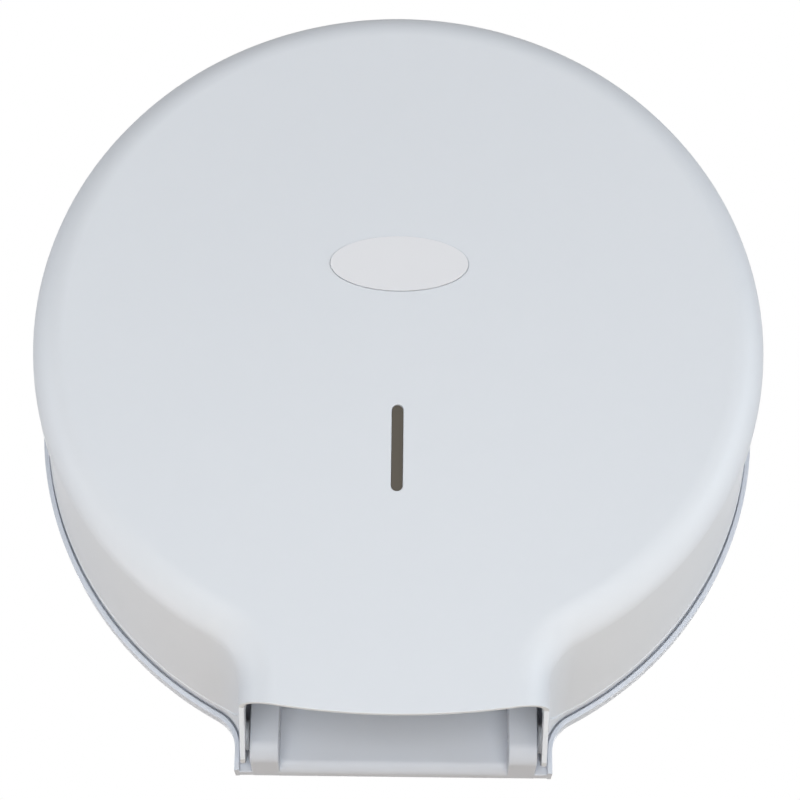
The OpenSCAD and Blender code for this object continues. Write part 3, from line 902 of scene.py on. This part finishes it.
    def side_skin(self) -> Skin:
        """The outer skin of the side and rim, down to the neck's teeth.

        Returns:
            The skin, with a hole for the lock.
        """
        end = self.neck_end()
        runs = OUTLINE.stations(float(end[:, 0].max()))
        low = runs[np.abs(runs) < end[0, 0] - 0.3]
        high = runs[np.abs(runs) < end[-1, 0] - 0.3]
        border = np.vstack([
            np.column_stack([low, np.zeros(len(low))]),
            end,
            np.column_stack([high[::-1], np.full(len(high), SIDE.length)]),
            end[::-1] * (-1.0, 1.0),
        ])
        edge = self.panel_edge()
        edge_ring = self.ring_of(edge)
        rows = [SIDE.climb_at(h) for h in sorted((*self.side_rows, self.lip_top))]
        rows += list(np.linspace(SIDE.wall_len, SIDE.length, 11)[:-1])
        reach = float(end[:, 0].max()) + 3.0
        lines = [np.array([[r, -3.0], [r, SIDE.length + 3.0]]) for r in runs]
        lines += [np.array([[-reach, climb], [reach, climb]]) for climb in rows]
        lock = self.lock_hole()
        loops = [border, lock] + [edge_ring.grown(-step).points for step in self.panel_rings]
        spots, triangles = triangulate(loops, lines, region(border, [lock]))
        return Skin(*self.side_surface(edge, spots), triangles[:, ::-1])

    @staticmethod
    def ring_of(line: np.ndarray) -> Ring:
        """A closed anticlockwise line with its outward normals."""
        along = unit(np.roll(line, -1, axis=0) - line) + unit(line - np.roll(line, 1, axis=0))
        return Ring(line, unit(np.column_stack([along[:, 1], -along[:, 0]])))

    def lock_hole(self) -> np.ndarray:
        """The hole for the lock, in (run, climb), a little inside the pad that finishes it."""
        centre = (0.0, SIDE.climb_at(self.lock_out))
        return Ring.ellipse(centre, (self.lock_bore + 1.2,) * 2, 48).points

    def side_surface(self, edge: np.ndarray, spots: np.ndarray) -> tuple[np.ndarray, np.ndarray, np.ndarray]:
        """Places the side's points, with the panel set in.

        Args:
            edge: The panel's outline.
            spots: Points of (run, climb).

        Returns:
            Points, normals, and directions through the wall, which the panel's step leaves as they are.
        """
        run, climb = spots[:, 0], np.clip(spots[:, 1], 0.0, SIDE.length)
        offset, height, raised = SIDE.at(climb)
        depth = self.panel_depth(edge, spots)
        step = 0.02
        slope_run = (self.panel_depth(edge, spots + (step, 0.0)) - depth) / step
        slope_climb = (self.panel_depth(edge, spots + (0.0, step)) - depth) / step
        plan, out = OUTLINE.at(run, offset)
        side = np.column_stack([out[:, 1], -out[:, 0]])
        level = np.zeros(len(run))
        normal = np.column_stack([out * np.cos(raised)[:, None], np.sin(raised)])
        forward = np.column_stack([side, level])
        upward = np.column_stack([-out * np.sin(raised)[:, None], np.cos(raised)])
        tilted = normal + forward * slope_run[:, None] + upward * slope_climb[:, None]
        points = np.column_stack([plan, height]) - normal * depth[:, None]
        return points, unit(tilted), -normal

    # -- the face --

    def face_skin(self, rim: np.ndarray) -> Skin:
        """The outer skin of the face.

        Args:
            rim: Plan points of the side's upper border, from the left end of the neck to the right one.

        Returns:
            The skin, with holes for the level window and the badge.
        """
        reach = abs(rim[-1, 0])
        x = np.linspace(reach, -reach, 40)[1:-1]
        border = np.vstack([rim, np.column_stack([x, self.bottom_y(x)])])
        openings = (self.slot_ring(), self.badge_ring())
        holes = [ring.points for ring in openings]
        circles = [Ring.ellipse((0.0, 0.0), (r, r), 96).points for r in self.face_rings]
        around = [ring.grown(gap).points for ring in openings for gap in self.hole_rings]
        plan, triangles = triangulate([border, *holes, *circles, *around], [], region(border, holes))
        for spot in rim:
            plan[np.argmin(((plan - spot) ** 2).sum(axis=1))] = spot
        r = np.linalg.norm(plan, axis=1)
        inside = np.maximum(0.0, 1.0 - (r / self.crown_r) ** 2)
        slope = 4.0 * self.crown / self.crown_r**2 * inside
        normals = unit(np.column_stack([plan * slope[:, None], np.ones(len(plan))]))
        return Skin(np.column_stack([plan, self.face_height(r)]), normals, -normals, triangles)

    def slot_ring(self) -> Ring:
        """Opening of the level window."""
        return Ring.slot((0.0, -self.slot_drop), self.slot_size)

    def badge_ring(self) -> Ring:
        """Opening of the pocket that the badge sits in."""
        return Ring.ellipse((0.0, self.badge_rise), self.badge_half, 96)

    # -- the moulding --

    def shell(self, draft: Draft) -> None:
        """Draws the whole shell: both skins, their rounded edges and the badge's pocket."""
        side = self.side_skin()
        top = side.points[:, 2] > SIDE.rim_start + SIDE.rim_r - 1e-6
        rim = side.points[top][:, :2]
        turn = np.arctan2(rim[:, 0], rim[:, 1])
        rim = rim[np.argsort(turn)]
        skin = side.joined(self.face_skin(rim))
        borders = skin.borders()
        log.info("cover skin: %d points, borders of %s", len(skin.points), [len(b) for b in borders])
        outer, inner = skin.points.copy(), skin.points + skin.through * COVER_WALL
        for row in borders:
            shift = skin.inward(row) * self.edge_r
            outer[row] += shift
            if not self.is_badge(skin, row):
                inner[row] += shift
        front = draft.add(outer, skin.normals)
        back = draft.add(inner, -skin.normals)
        draft.tile(front, skin.triangles)
        draft.tile(back, skin.triangles)
        for row in borders:
            if self.is_badge(skin, row):
                self.pocket(draft, skin, row, front, back)
            else:
                self.edge(draft, skin, row, front, back)
        draft.seal()

    def is_badge(self, skin: Skin, row: np.ndarray) -> bool:
        """Tells whether a border is the badge's opening."""
        middle = skin.points[row].mean(axis=0)
        return bool(np.hypot(middle[0], middle[1] - self.badge_rise) < 2.0 and middle[2] > SIDE.rim_start)

    def edge(self, draft: Draft, skin: Skin, row: np.ndarray, front: np.ndarray, back: np.ndarray) -> None:
        """Rounds the edge between the two skins along a border.

        Args:
            draft: The drawing.
            skin: The outer skin.
            row: The border's point numbers in the skin.
            front: Numbers in the drawing of the outer skin's points.
            back: Those of the inner skin's points.
        """
        inward, normals, r = skin.inward(row), skin.normals[row], self.edge_r
        ends = np.column_stack([np.arange(len(row)), np.roll(np.arange(len(row)), -1)])
        facing_in = np.cross(normals[ends], self.ways(skin.points[row]))
        rows = [front[row][ends]]
        for start, turns, sign in ((skin.points[row] - normals * r, (30, 60, 90), 1.0),
                                   (skin.points[row] - normals * (COVER_WALL - r), (90, 45), -1.0)):
            for turn in np.radians(turns):
                away = inward * (1.0 - math.sin(turn)) + normals * sign * math.cos(turn)
                facing = normals[ends] * sign * math.cos(turn) - facing_in * math.sin(turn)
                rows.append(draft.add((start + away * r)[ends], facing))
        rows.append(back[row][ends])
        draft.strips(np.array(rows)[..., 0], np.array(rows)[..., 1])

    @staticmethod
    def ways(line: np.ndarray, limit: float = 25.0) -> np.ndarray:
        """Directions of a closed line's segments at both their ends, blended where the line bends gently.

        Args:
            line: Its points in order, (n, 3).
            limit: Bends of more than this many degrees stay sharp.

        Returns:
            The directions, (n, 2, 3).
        """
        along = unit(np.roll(line, -1, axis=0) - line)
        before = np.roll(along, 1, axis=0)
        gentle = ((along * before).sum(axis=1) > math.cos(math.radians(limit)))[:, None]
        blended = unit(along + before)
        start = np.where(gentle, blended, along)
        end = np.where(np.roll(gentle, -1, axis=0), np.roll(blended, -1, axis=0), along)
        return np.stack([start, end], axis=1)

    def pocket(self, draft: Draft, skin: Skin, row: np.ndarray, front: np.ndarray, back: np.ndarray) -> None:
        """Sinks the badge's pocket, and closes the inner skin behind it.

        Args:
            draft: The drawing.
            skin: The outer skin.
            row: The pocket's border.
            front: Numbers in the drawing of the outer skin's points.
            back: Those of the inner skin's points.
        """
        inward, normals, r = skin.inward(row), skin.normals[row], self.edge_r
        start = skin.points[row] - normals * r
        rows = [front[row]]
        for turn in np.radians((30, 60, 90)):
            away = inward * (1.0 - math.sin(turn)) + normals * math.cos(turn)
            rows.append(draft.add(start + away * r, normals * math.cos(turn) - inward * math.sin(turn)))
        floor = start.copy()
        floor[:, 2] = float(self.face_height(np.array(self.badge_rise))) - self.badge_depth
        rows.append(draft.add(floor, -inward))
        draft.skin(np.array(rows))
        draft.cap(floor, (0.0, 0.0, 1.0))
        draft.faces.append(tuple(back[row].tolist()))

    def lock_pad(self, draft: Draft) -> None:
        """Draws the round pad that the lock is fastened in."""
        bore, pad = self.lock_bore, self.lock_pad_r
        upright = Placement((0.0, 0.0, self.lock_out), (1.0, 0.0, 0.0), (0.0, 0.0, -1.0))
        top = OUTLINE.body_r + SIDE.flare(self.lock_out - pad) + 0.2
        draft.lathe(Ring.box((bore, top - self.lock_pad_t), (pad, top), 0.25), upright)

    def window_seat(self, draft: Draft) -> None:
        """Draws the frame that the window lies in, and the two stakes that hold it."""
        seat = SIDE.rim_start + SIDE.rim_r - COVER_WALL - self.window_drop
        half_x, half_y = (size / 2 + lap for size, lap in zip(self.slot_size, self.window_lap))
        around = Ring.box((-half_x, -self.slot_drop - half_y), (half_x, -self.slot_drop + half_y), 0.5)
        draft.prism(around, seat, seat + COVER_WALL, 0.2, holes=[self.slot_ring().grown(0.08)])
        for end in (-1.0, 1.0):
            spot = (0.0, end * (self.slot_size[1] / 2 + self.stake_gap) - self.slot_drop)
            draft.prism(Ring.ellipse(spot, (self.stake_r,) * 2, 20), seat - 1.6, seat + 0.4, 0.05)
            draft.prism(Ring.ellipse(spot, (self.stake_head_r,) * 2, 24), seat - 2.0, seat - 1.4, 0.25)

    def hinge_bosses(self, draft: Draft) -> None:
        """Draws the boss round each hinge pin, on the inside of the neck."""
        far = OUTLINE.neck_half + SIDE.flare(HINGE.out) - COVER_WALL + 0.6
        near = HINGE.lug_outer + self.boss_gap
        section = Ring.box((HINGE.pin_r + self.pin_gap, near), (HINGE.pin_r + self.boss_t, far), 0.3)
        for side in (-1.0, 1.0):
            spot = Placement((0.0, HINGE.y, HINGE.out), (0.0, 0.0, -side), (0.0, 1.0, 0.0))
            draft.lathe(section, spot, 48)

    def build(self) -> None:
        """Makes the cover's piece, which stands for its CAD node."""
        draft = Draft()
        for draw in (self.shell, self.lock_pad, self.window_seat, self.hinge_bosses):
            draw(draft)
        piece = draft.build("cover_moulding")
        dress(piece, COVER_PLASTIC)
        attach(piece, "cover")
        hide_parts("front_cover")


# ---- Back plate ----


@dataclass(frozen=True)
class BackPlate:
    """The plate on the wall: a ribbed tray with an upstand round the cover, two hinge lugs and a smooth sill.

    The shares are of the body's radius: the ribs' inner ring, outer ring and reach, and the ring on the front.
    """

    floor_low: float = 2.4
    floor_top: float = 4.8
    upstand_h: float = 8.0
    upstand_t: float = 1.6
    upstand_lean: float = 0.25
    upstand_in: float = 0.15
    edge_gap: float = 0.55
    bottom: float = -143.3
    lug_round: float = 7.0
    sill_round: float = 4.4
    screw_x: float = 75.0
    screw_y: float = 55.0
    screw_hole_r: float = 2.75
    seat_r: float = 32.1
    post_screw_ring: float = 24.0
    keeper_head_r: float = 2.8
    corner_r: float = 0.6
    rib_w: float = 1.8
    rib_top: float = 2.6
    rib_round: float = 0.3
    rib_shares: tuple[float, float, float] = (0.4, 0.72, 0.96)
    ring_share: float = 0.82
    ring_w: float = 2.4
    ring_ends: tuple[float, float] = (-38.3, 218.3)
    boss_t: float = 5.0
    boss_rise: float = 1.2
    seat_t: float = 2.1
    seat_rise: float = 1.8

    @cached_property
    def offset(self) -> float:
        """How far the plate's edge stands out of the outline."""
        return float(SIDE.foot[0]) + self.edge_gap + self.upstand_t

    def plan(self, offset: float, bottom: float) -> Ring:
        """The closed plan of the plate at an offset, cut off straight at the bottom.

        Args:
            offset: Offset from the outline.
            bottom: Height of the straight bottom edge.

        Returns:
            The ring, anticlockwise.
        """
        runs = OUTLINE.stations(float(OUTLINE.run_at(np.array(bottom), offset)))[::-1]
        points, normals = OUTLINE.at(runs, offset)
        above = points[:, 1] > bottom + self.corner_r + 0.01
        parts = [(points[above], normals[above])]
        for side, start in ((-1.0, 180.0), (1.0, 270.0)):
            arc = np.radians(start + np.linspace(0.0, 90.0, 6))
            way = np.column_stack([np.cos(arc), np.sin(arc)])
            centre = np.array([side * (points[0, 0] - self.corner_r), bottom + self.corner_r])
            parts.append((centre + way * self.corner_r, way))
        return Ring(np.vstack([p for p, _ in parts]), np.vstack([n for _, n in parts]))

    def upstand(self, draft: Draft) -> None:
        """Carries the upstand's section round the plate, open at the bottom."""
        out = self.offset
        low, high = out - self.upstand_t - self.upstand_in, self.upstand_h
        corners = [(low, 0.0), (out - self.upstand_lean, 0.0), (out, high), (low - 0.15, high)]
        section = Ring.rounded(corners, (0.3, 0.3, 0.5, 0.4), 5)
        runs = OUTLINE.stations(float(OUTLINE.run_at(np.array(self.bottom), out)))
        rows, normals = [], []
        for (d, h), (nd, nh) in zip(section.points, section.normals):
            plan, outward = OUTLINE.at(runs, d)
            rows.append(np.column_stack([plan, np.full(len(runs), h)]))
            normals.append(np.column_stack([outward * nd, np.full(len(runs), nh)]))
        rows, normals = np.array(rows), np.array(normals)
        numbers = draft.add(rows, normals)
        draft.skin(np.vstack([numbers, numbers[:1]]), closed=False)
        for end in (0, -1):
            draft.cap(rows[:, end], (0.0, -1.0, 0.0))
        draft.seal()

    def floor(self, draft: Draft) -> None:
        """Draws the floor with its screw holes, and the skirt along its bottom edge."""
        inside = self.offset - self.upstand_t / 2
        holes = [Ring.ellipse((x * self.screw_x, y * self.screw_y), (6.0, 6.0), 32) for x in (-1, 1) for y in (-1, 1)]
        draft.prism(self.plan(inside, self.bottom + 0.4), self.floor_low, self.floor_top, 0.15, holes=holes)
        half = OUTLINE.neck_half + inside
        low, high, top = self.bottom + 0.15, self.bottom + self.upstand_t, self.floor_top - 0.1
        draft.prism(Ring.box((0.15, low), (top, high), 0.3), -half, half, 0.1, ACROSS)

    def lugs(self, draft: Draft) -> None:
        """Draws the two hinge lugs, each with the bore for its pin."""
        low, out = self.bottom, HINGE.lug_depth
        shoulder = HINGE.y + HINGE.ear_r
        front, rear, tip, foot = self.floor_top - 1.0, self.floor_low + 0.4, shoulder + 17.0, shoulder - 3.0
        corners = [
            (0.0, low), (out, low), (out, shoulder), (out - 5.0, shoulder + 8.0),
            (front, tip), (rear, tip), (rear, foot), (0.0, foot),
        ]
        section = Ring.rounded(corners, (0.8, self.lug_round, 3.0, 3.0, 0.5, 0.4, 0.4, 0.6), 10)
        bore = Ring.ellipse((HINGE.out, HINGE.y), (HINGE.pin_r + 0.02,) * 2, 40)
        far = HINGE.lug_outer
        for side in (-1.0, 1.0):
            near = far - HINGE.lug_w
            ends = sorted((side * near, side * far))
            draft.prism(section, ends[0], ends[1], 0.6, ACROSS, [bore])

    def sill(self, draft: Draft) -> None:
        """Draws the sill that turns the paper out over the plate's bottom edge."""
        low, out, rear = self.bottom + 0.05, self.upstand_h, 0.05
        corners = [
            (rear, low), (out, low), (out, low + 24.0), (4.0, low + 32.6), (3.2, low + 32.6),
            (3.2, low + self.upstand_t), (rear, low + self.upstand_t),
        ]
        section = Ring.rounded(corners, (0.4, self.sill_round, 2.5, 0.1, 0.1, 0.1, 0.2), 10)
        half = HINGE.lug_outer - HINGE.lug_w + 0.5
        draft.prism(section, -half, half, 0.05, ACROSS)

    def ribs(self, draft: Draft) -> None:
        """Draws the rings and spokes on the wall side."""
        near, ring, far = (OUTLINE.body_r * share for share in self.rib_shares)
        half, top, corner = self.rib_w / 2, self.rib_top, self.rib_round
        for r in (ring, near):
            draft.lathe(Ring.box((r - half, 0.05), (r + half, top), corner, 3), count=120)
        bar = Ring.box((near, -half), (far, half), corner, 3)
        for turn in np.radians(np.arange(15.0, 360.0, 30.0)):
            c, s = math.cos(turn), math.sin(turn)
            draft.prism(bar, 0.1, top, 0.25, Placement(across=(c, s, 0.0), along=(-s, c, 0.0)))

    def front_ring(self, draft: Draft) -> None:
        """Draws the ring on the floor's front, which is open above the neck."""
        r, top = OUTLINE.body_r * self.ring_share, self.floor_top + self.boss_rise
        turns = np.radians(np.linspace(*self.ring_ends, 140))[:, None]
        section = Ring.box((r - self.ring_w, 4.4), (r, top), 0.4)
        radius, height = section.points[:, 0], np.broadcast_to(section.points[:, 1], (len(turns), len(section.points)))
        rows = np.stack([radius * np.cos(turns), radius * np.sin(turns), height], axis=-1)
        flat, rise = section.normals[:, 0], np.broadcast_to(section.normals[:, 1], height.shape)
        numbers = draft.add(rows, np.stack([flat * np.cos(turns), flat * np.sin(turns), rise], axis=-1))
        draft.skin(numbers)
        for end, way in ((0, 1.0), (-1, -1.0)):
            turn = turns[end, 0]
            draft.cap(rows[end], (way * math.sin(turn), -way * math.cos(turn), 0.0))
        draft.seal()

    def bosses(self, draft: Draft) -> None:
        """Draws the bosses of the wall screws, the seat of the spindle post and the blind ends of its screws."""
        hole, top = self.screw_hole_r, self.floor_top + self.boss_rise
        section = Ring.box((hole, 0.0), (hole + self.boss_t, top), 0.45)
        for x in (-self.screw_x, self.screw_x):
            for y in (-self.screw_y, self.screw_y):
                draft.lathe(section, Placement((x, y, 0.0)), 48)
        seat, top = self.seat_r, self.floor_top + self.seat_rise
        draft.lathe(Ring.box((seat, 3.0), (seat + self.seat_t, top), 0.4), count=96)
        r = self.post_screw_ring
        spots = [(r * math.cos(a), r * math.sin(a), 4.0) for a in np.radians((45, 135, 225, 315))]
        low, high = (np.array(corner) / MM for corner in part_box("keeper_screws"))
        y = (low[2] + high[2]) / 2
        spots += [(x, y, 3.4) for x in (low[0] + self.keeper_head_r, high[0] - self.keeper_head_r)]
        for x, y, boss in spots:
            draft.prism(Ring.ellipse((x, y), (boss, boss), 36), 0.0, self.rib_top, 0.3)

    def build(self) -> None:
        """Makes the plate's piece, which stands for its CAD node."""
        draft = Draft()
        for draw in (self.floor, self.upstand, self.lugs, self.sill, self.ribs, self.front_ring, self.bosses):
            draw(draft)
        piece = draft.build("plate_moulding")
        dress(piece, PLATE_PLASTIC)
        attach(piece, "base")
        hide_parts("back_plate")


# ---- Pieces that keep the CAD's own mesh ----


@dataclass(frozen=True)
class CadDress:
    """A CAD node that is shown as it is, with its finish."""

    node: str
    finish: Finish
    slot: Slot

    def build(self) -> None:
        """Smooths and dresses the node."""
        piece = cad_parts[self.node]
        smooth_cad(piece)
        dress(piece, self.finish)


CAD_PIECES = (
    CadDress("level_window", SMOKED_PLASTIC, Slot.WINDOW),
    CadDress("badge_plate", BADGE_PLASTIC, Slot.BADGE),
    CadDress("hinge_pin_left", PIN_STEEL, Slot.STEEL),
    CadDress("hinge_pin_right", PIN_STEEL, Slot.STEEL),
    CadDress("spindle_post", PLATE_PLASTIC, Slot.PLATE),
    CadDress("spindle_screws", STEEL, Slot.STEEL),
    CadDress("friction_washer", FELT, Slot.WASHER),
    CadDress("core_hub", HUB_PLASTIC, Slot.HUB),
    CadDress("hub_cap", HUB_PLASTIC, Slot.HUB),
    CadDress("hub_screw", STEEL, Slot.STEEL),
    CadDress("lock_housing", LOCK_CHROME, Slot.LOCK),
    CadDress("lock_washer", STEEL, Slot.STEEL),
    CadDress("lock_nut", STEEL, Slot.STEEL),
    CadDress("lock_barrel", LOCK_CHROME, Slot.LOCK),
    CadDress("lock_cam", STEEL, Slot.STEEL),
    CadDress("cam_screw", STEEL, Slot.STEEL),
    CadDress("lock_keeper", STEEL, Slot.STEEL),
    CadDress("keeper_screws", STEEL, Slot.STEEL),
)


# ---- Studio ----


@dataclass(frozen=True)
class SoftBox:
    """A rectangular studio lamp, aimed at a point."""

    name: str
    place: tuple[float, float, float]
    aim: tuple[float, float, float]
    size: tuple[float, float]
    power: float
    colour: tuple[float, float, float] = (1.0, 1.0, 1.0)

    def build(self) -> None:
        """Hangs the lamp."""
        lamp = bpy.data.lights.new(self.name, "AREA")
        lamp.shape = "RECTANGLE"
        lamp.size, lamp.size_y = self.size
        lamp.energy = self.power
        lamp.color = self.colour
        made = bpy.data.objects.new(self.name, lamp)
        made.location = self.place
        way = Vector(self.aim) - Vector(self.place)
        made.rotation_euler = way.to_track_quat("-Z", "Y").to_euler()
        bpy.context.scene.collection.objects.link(made)


@dataclass(frozen=True)
class Camera:
    """The camera, low in front of the dispenser and looking up at it."""

    place: tuple[float, float, float] = (-0.0002, -0.9129, -0.3828)
    azimuth: float = 0.07
    elevation: float = 23.355
    roll: float = 0.662
    lens: float = 111.57
    sensor: float = 36.0

    def build(self) -> None:
        """Makes the scene's camera."""
        data = bpy.data.cameras.new("Camera")
        data.lens, data.sensor_width, data.sensor_fit = self.lens, self.sensor, "HORIZONTAL"
        data.clip_start, data.clip_end = 0.01, 50.0
        made = bpy.data.objects.new("Camera", data)
        azimuth, elevation, roll = (math.radians(a) for a in (self.azimuth, self.elevation, self.roll))
        ahead = Vector((math.sin(azimuth) * math.cos(elevation), math.cos(azimuth) * math.cos(elevation),
                        math.sin(elevation)))
        right = ahead.cross(Vector((0, 0, 1))).normalized()
        up = right.cross(ahead)
        tilted = right * math.cos(roll) + up * math.sin(roll)
        raised = up * math.cos(roll) - right * math.sin(roll)
        turn = Matrix((tilted, raised, -ahead)).transposed()
        made.matrix_world = Matrix.Translation(self.place) @ turn.to_4x4()
        bpy.context.scene.collection.objects.link(made)
        bpy.context.scene.camera = made


@dataclass(frozen=True)
class Studio:
    """White surround, a pale floor and soft lamps.

    The surround's light changes from one colour ahead of the wall to another behind it, over the turnover.
    """

    floor_z: float = -1.25
    floor_half: float = 3.0
    floor_glow: tuple[float, float, float] = (0.52, 0.56, 0.585)
    ahead: tuple[float, float, float] = (0.125, 0.127, 0.132)
    behind: tuple[float, float, float] = (0.25, 0.23, 0.21)
    turnover: tuple[float, float] = (-0.2, 0.3)
    lamps: tuple[SoftBox, ...] = (
        SoftBox("Front softbox", (0.0, -3.5, -0.9), (0.0, 0.0, -0.02), (2.0, 0.6), 33.0, (1.0, 0.975, 0.93)),
        SoftBox("Low softbox", (0.0, -1.5, -1.0), (0.0, 0.0, -0.1), (1.2, 0.35), 11.3, (0.91, 0.97, 1.0)),
        SoftBox("Top softbox", (0.0, -1.4, 1.5), (0.0, 0.0, 0.0), (1.6, 1.0), 2.4, (1.0, 0.9, 0.8)),
        SoftBox("Left softbox", (-2.0, -0.9, 0.1), (0.0, 0.0, 0.0), (0.8, 1.4), 9.5, (0.81, 0.91, 1.0)),
        SoftBox("Right softbox", (2.0, -0.9, 0.1), (0.0, 0.0, 0.0), (0.8, 1.4), 16.0, (0.84, 0.93, 1.0)),
        SoftBox("Rear left softbox", (-1.3, 0.2, -0.75), (-0.05, 0.0, -0.05), (0.5, 0.5), 2.6, (0.97, 0.97, 1.0)),
        SoftBox("Rear right softbox", (1.3, 0.2, -0.75), (0.05, 0.0, -0.05), (0.5, 0.5), 1.7, (0.93, 0.97, 1.0)),
        SoftBox("Back softbox", (0.0, 2.2, 0.4), (0.0, 0.0, 0.0), (1.4, 1.0), 20.0, (1.0, 1.0, 1.0)),
    )

    def world(self) -> None:
        """White behind the object, a calmer grey as the light it throws."""
        world = bpy.data.worlds.new("Surround")
        bpy.context.scene.world = world
        world.use_nodes = True
        tree = world.node_tree
        tree.nodes.clear()
        path = add_node(tree, "ShaderNodeLightPath").outputs
        white = path["Is Camera Ray"]
        for ray in ("Is Transmission Ray", "Is Glossy Ray"):
            white = add_node(tree, "ShaderNodeMath", {0: white, 1: path[ray]}, operation="MAXIMUM").outputs["Value"]
        where = add_node(tree, "ShaderNodeTexCoord")
        split = add_node(tree, "ShaderNodeSeparateXYZ", {"Vector": where.outputs["Generated"]})
        low, high = self.turnover
        span = {"From Min": low, "From Max": high, "Value": split.outputs["Y"]}
        behind = add_node(tree, "ShaderNodeMapRange", span)
        shades = {"A": (*self.ahead, 1.0), "B": (*self.behind, 1.0), "Factor": behind.outputs["Result"]}
        tint = add_node(tree, "ShaderNodeMix", shades, data_type="RGBA")
        light = add_node(tree, "ShaderNodeBackground", {"Strength": 1.0, "Color": tint.outputs["Result"]})
        shown = add_node(tree, "ShaderNodeBackground", {"Strength": 1.0, "Color": (1.0, 1.0, 1.0, 1.0)})
        ends = {"Fac": white, 1: light.outputs["Background"], 2: shown.outputs["Background"]}
        mix = add_node(tree, "ShaderNodeMixShader", ends)
        add_node(tree, "ShaderNodeOutputWorld", {"Surface": mix.outputs["Shader"]})

    def paper(self) -> bpy.types.Material:
        """The floor's pale paper: the camera sees it lifted towards the white surround, the object doesn't."""
        made = Finish("Floor paper", (232, 214, 192), 0.8, drift=0.004, grain=0.0, specular=0.2).material()
        tree = made.node_tree
        shader = tree.nodes["Principled BSDF"]
        shader.inputs["Emission Color"].default_value = (*self.floor_glow, 1.0)
        path = add_node(tree, "ShaderNodeLightPath")
        tree.links.new(path.outputs["Is Camera Ray"], shader.inputs["Emission Strength"])
        return made

    def floor(self) -> None:
        """A plain pale floor below the dispenser."""
        half, z = self.floor_half, self.floor_z
        mesh = bpy.data.meshes.new("Floor")
        mesh.from_pydata([(-half, -half, z), (half, -half, z), (half, half, z), (-half, half, z)], [], [(0, 1, 2, 3)])
        made = bpy.data.objects.new("Floor", mesh)
        mesh.materials.append(self.paper())
        bpy.context.scene.collection.objects.link(made)

    def build(self) -> None:
        """Sets up the surround, the floor, the lamps and the camera."""
        self.world()
        self.floor()
        for lamp in self.lamps:
            lamp.build()
        Camera().build()
        bpy.context.scene.view_settings.view_transform = "Standard"


def main() -> None:
    """Builds every piece, then the studio round it."""
    logging.basicConfig(level=logging.INFO, format="%(name)s: %(message)s")
    FrontCover().build()
    BackPlate().build()
    for piece in CAD_PIECES:
        piece.build()
    Studio().build()


if __name__ == "__main__":
    main()
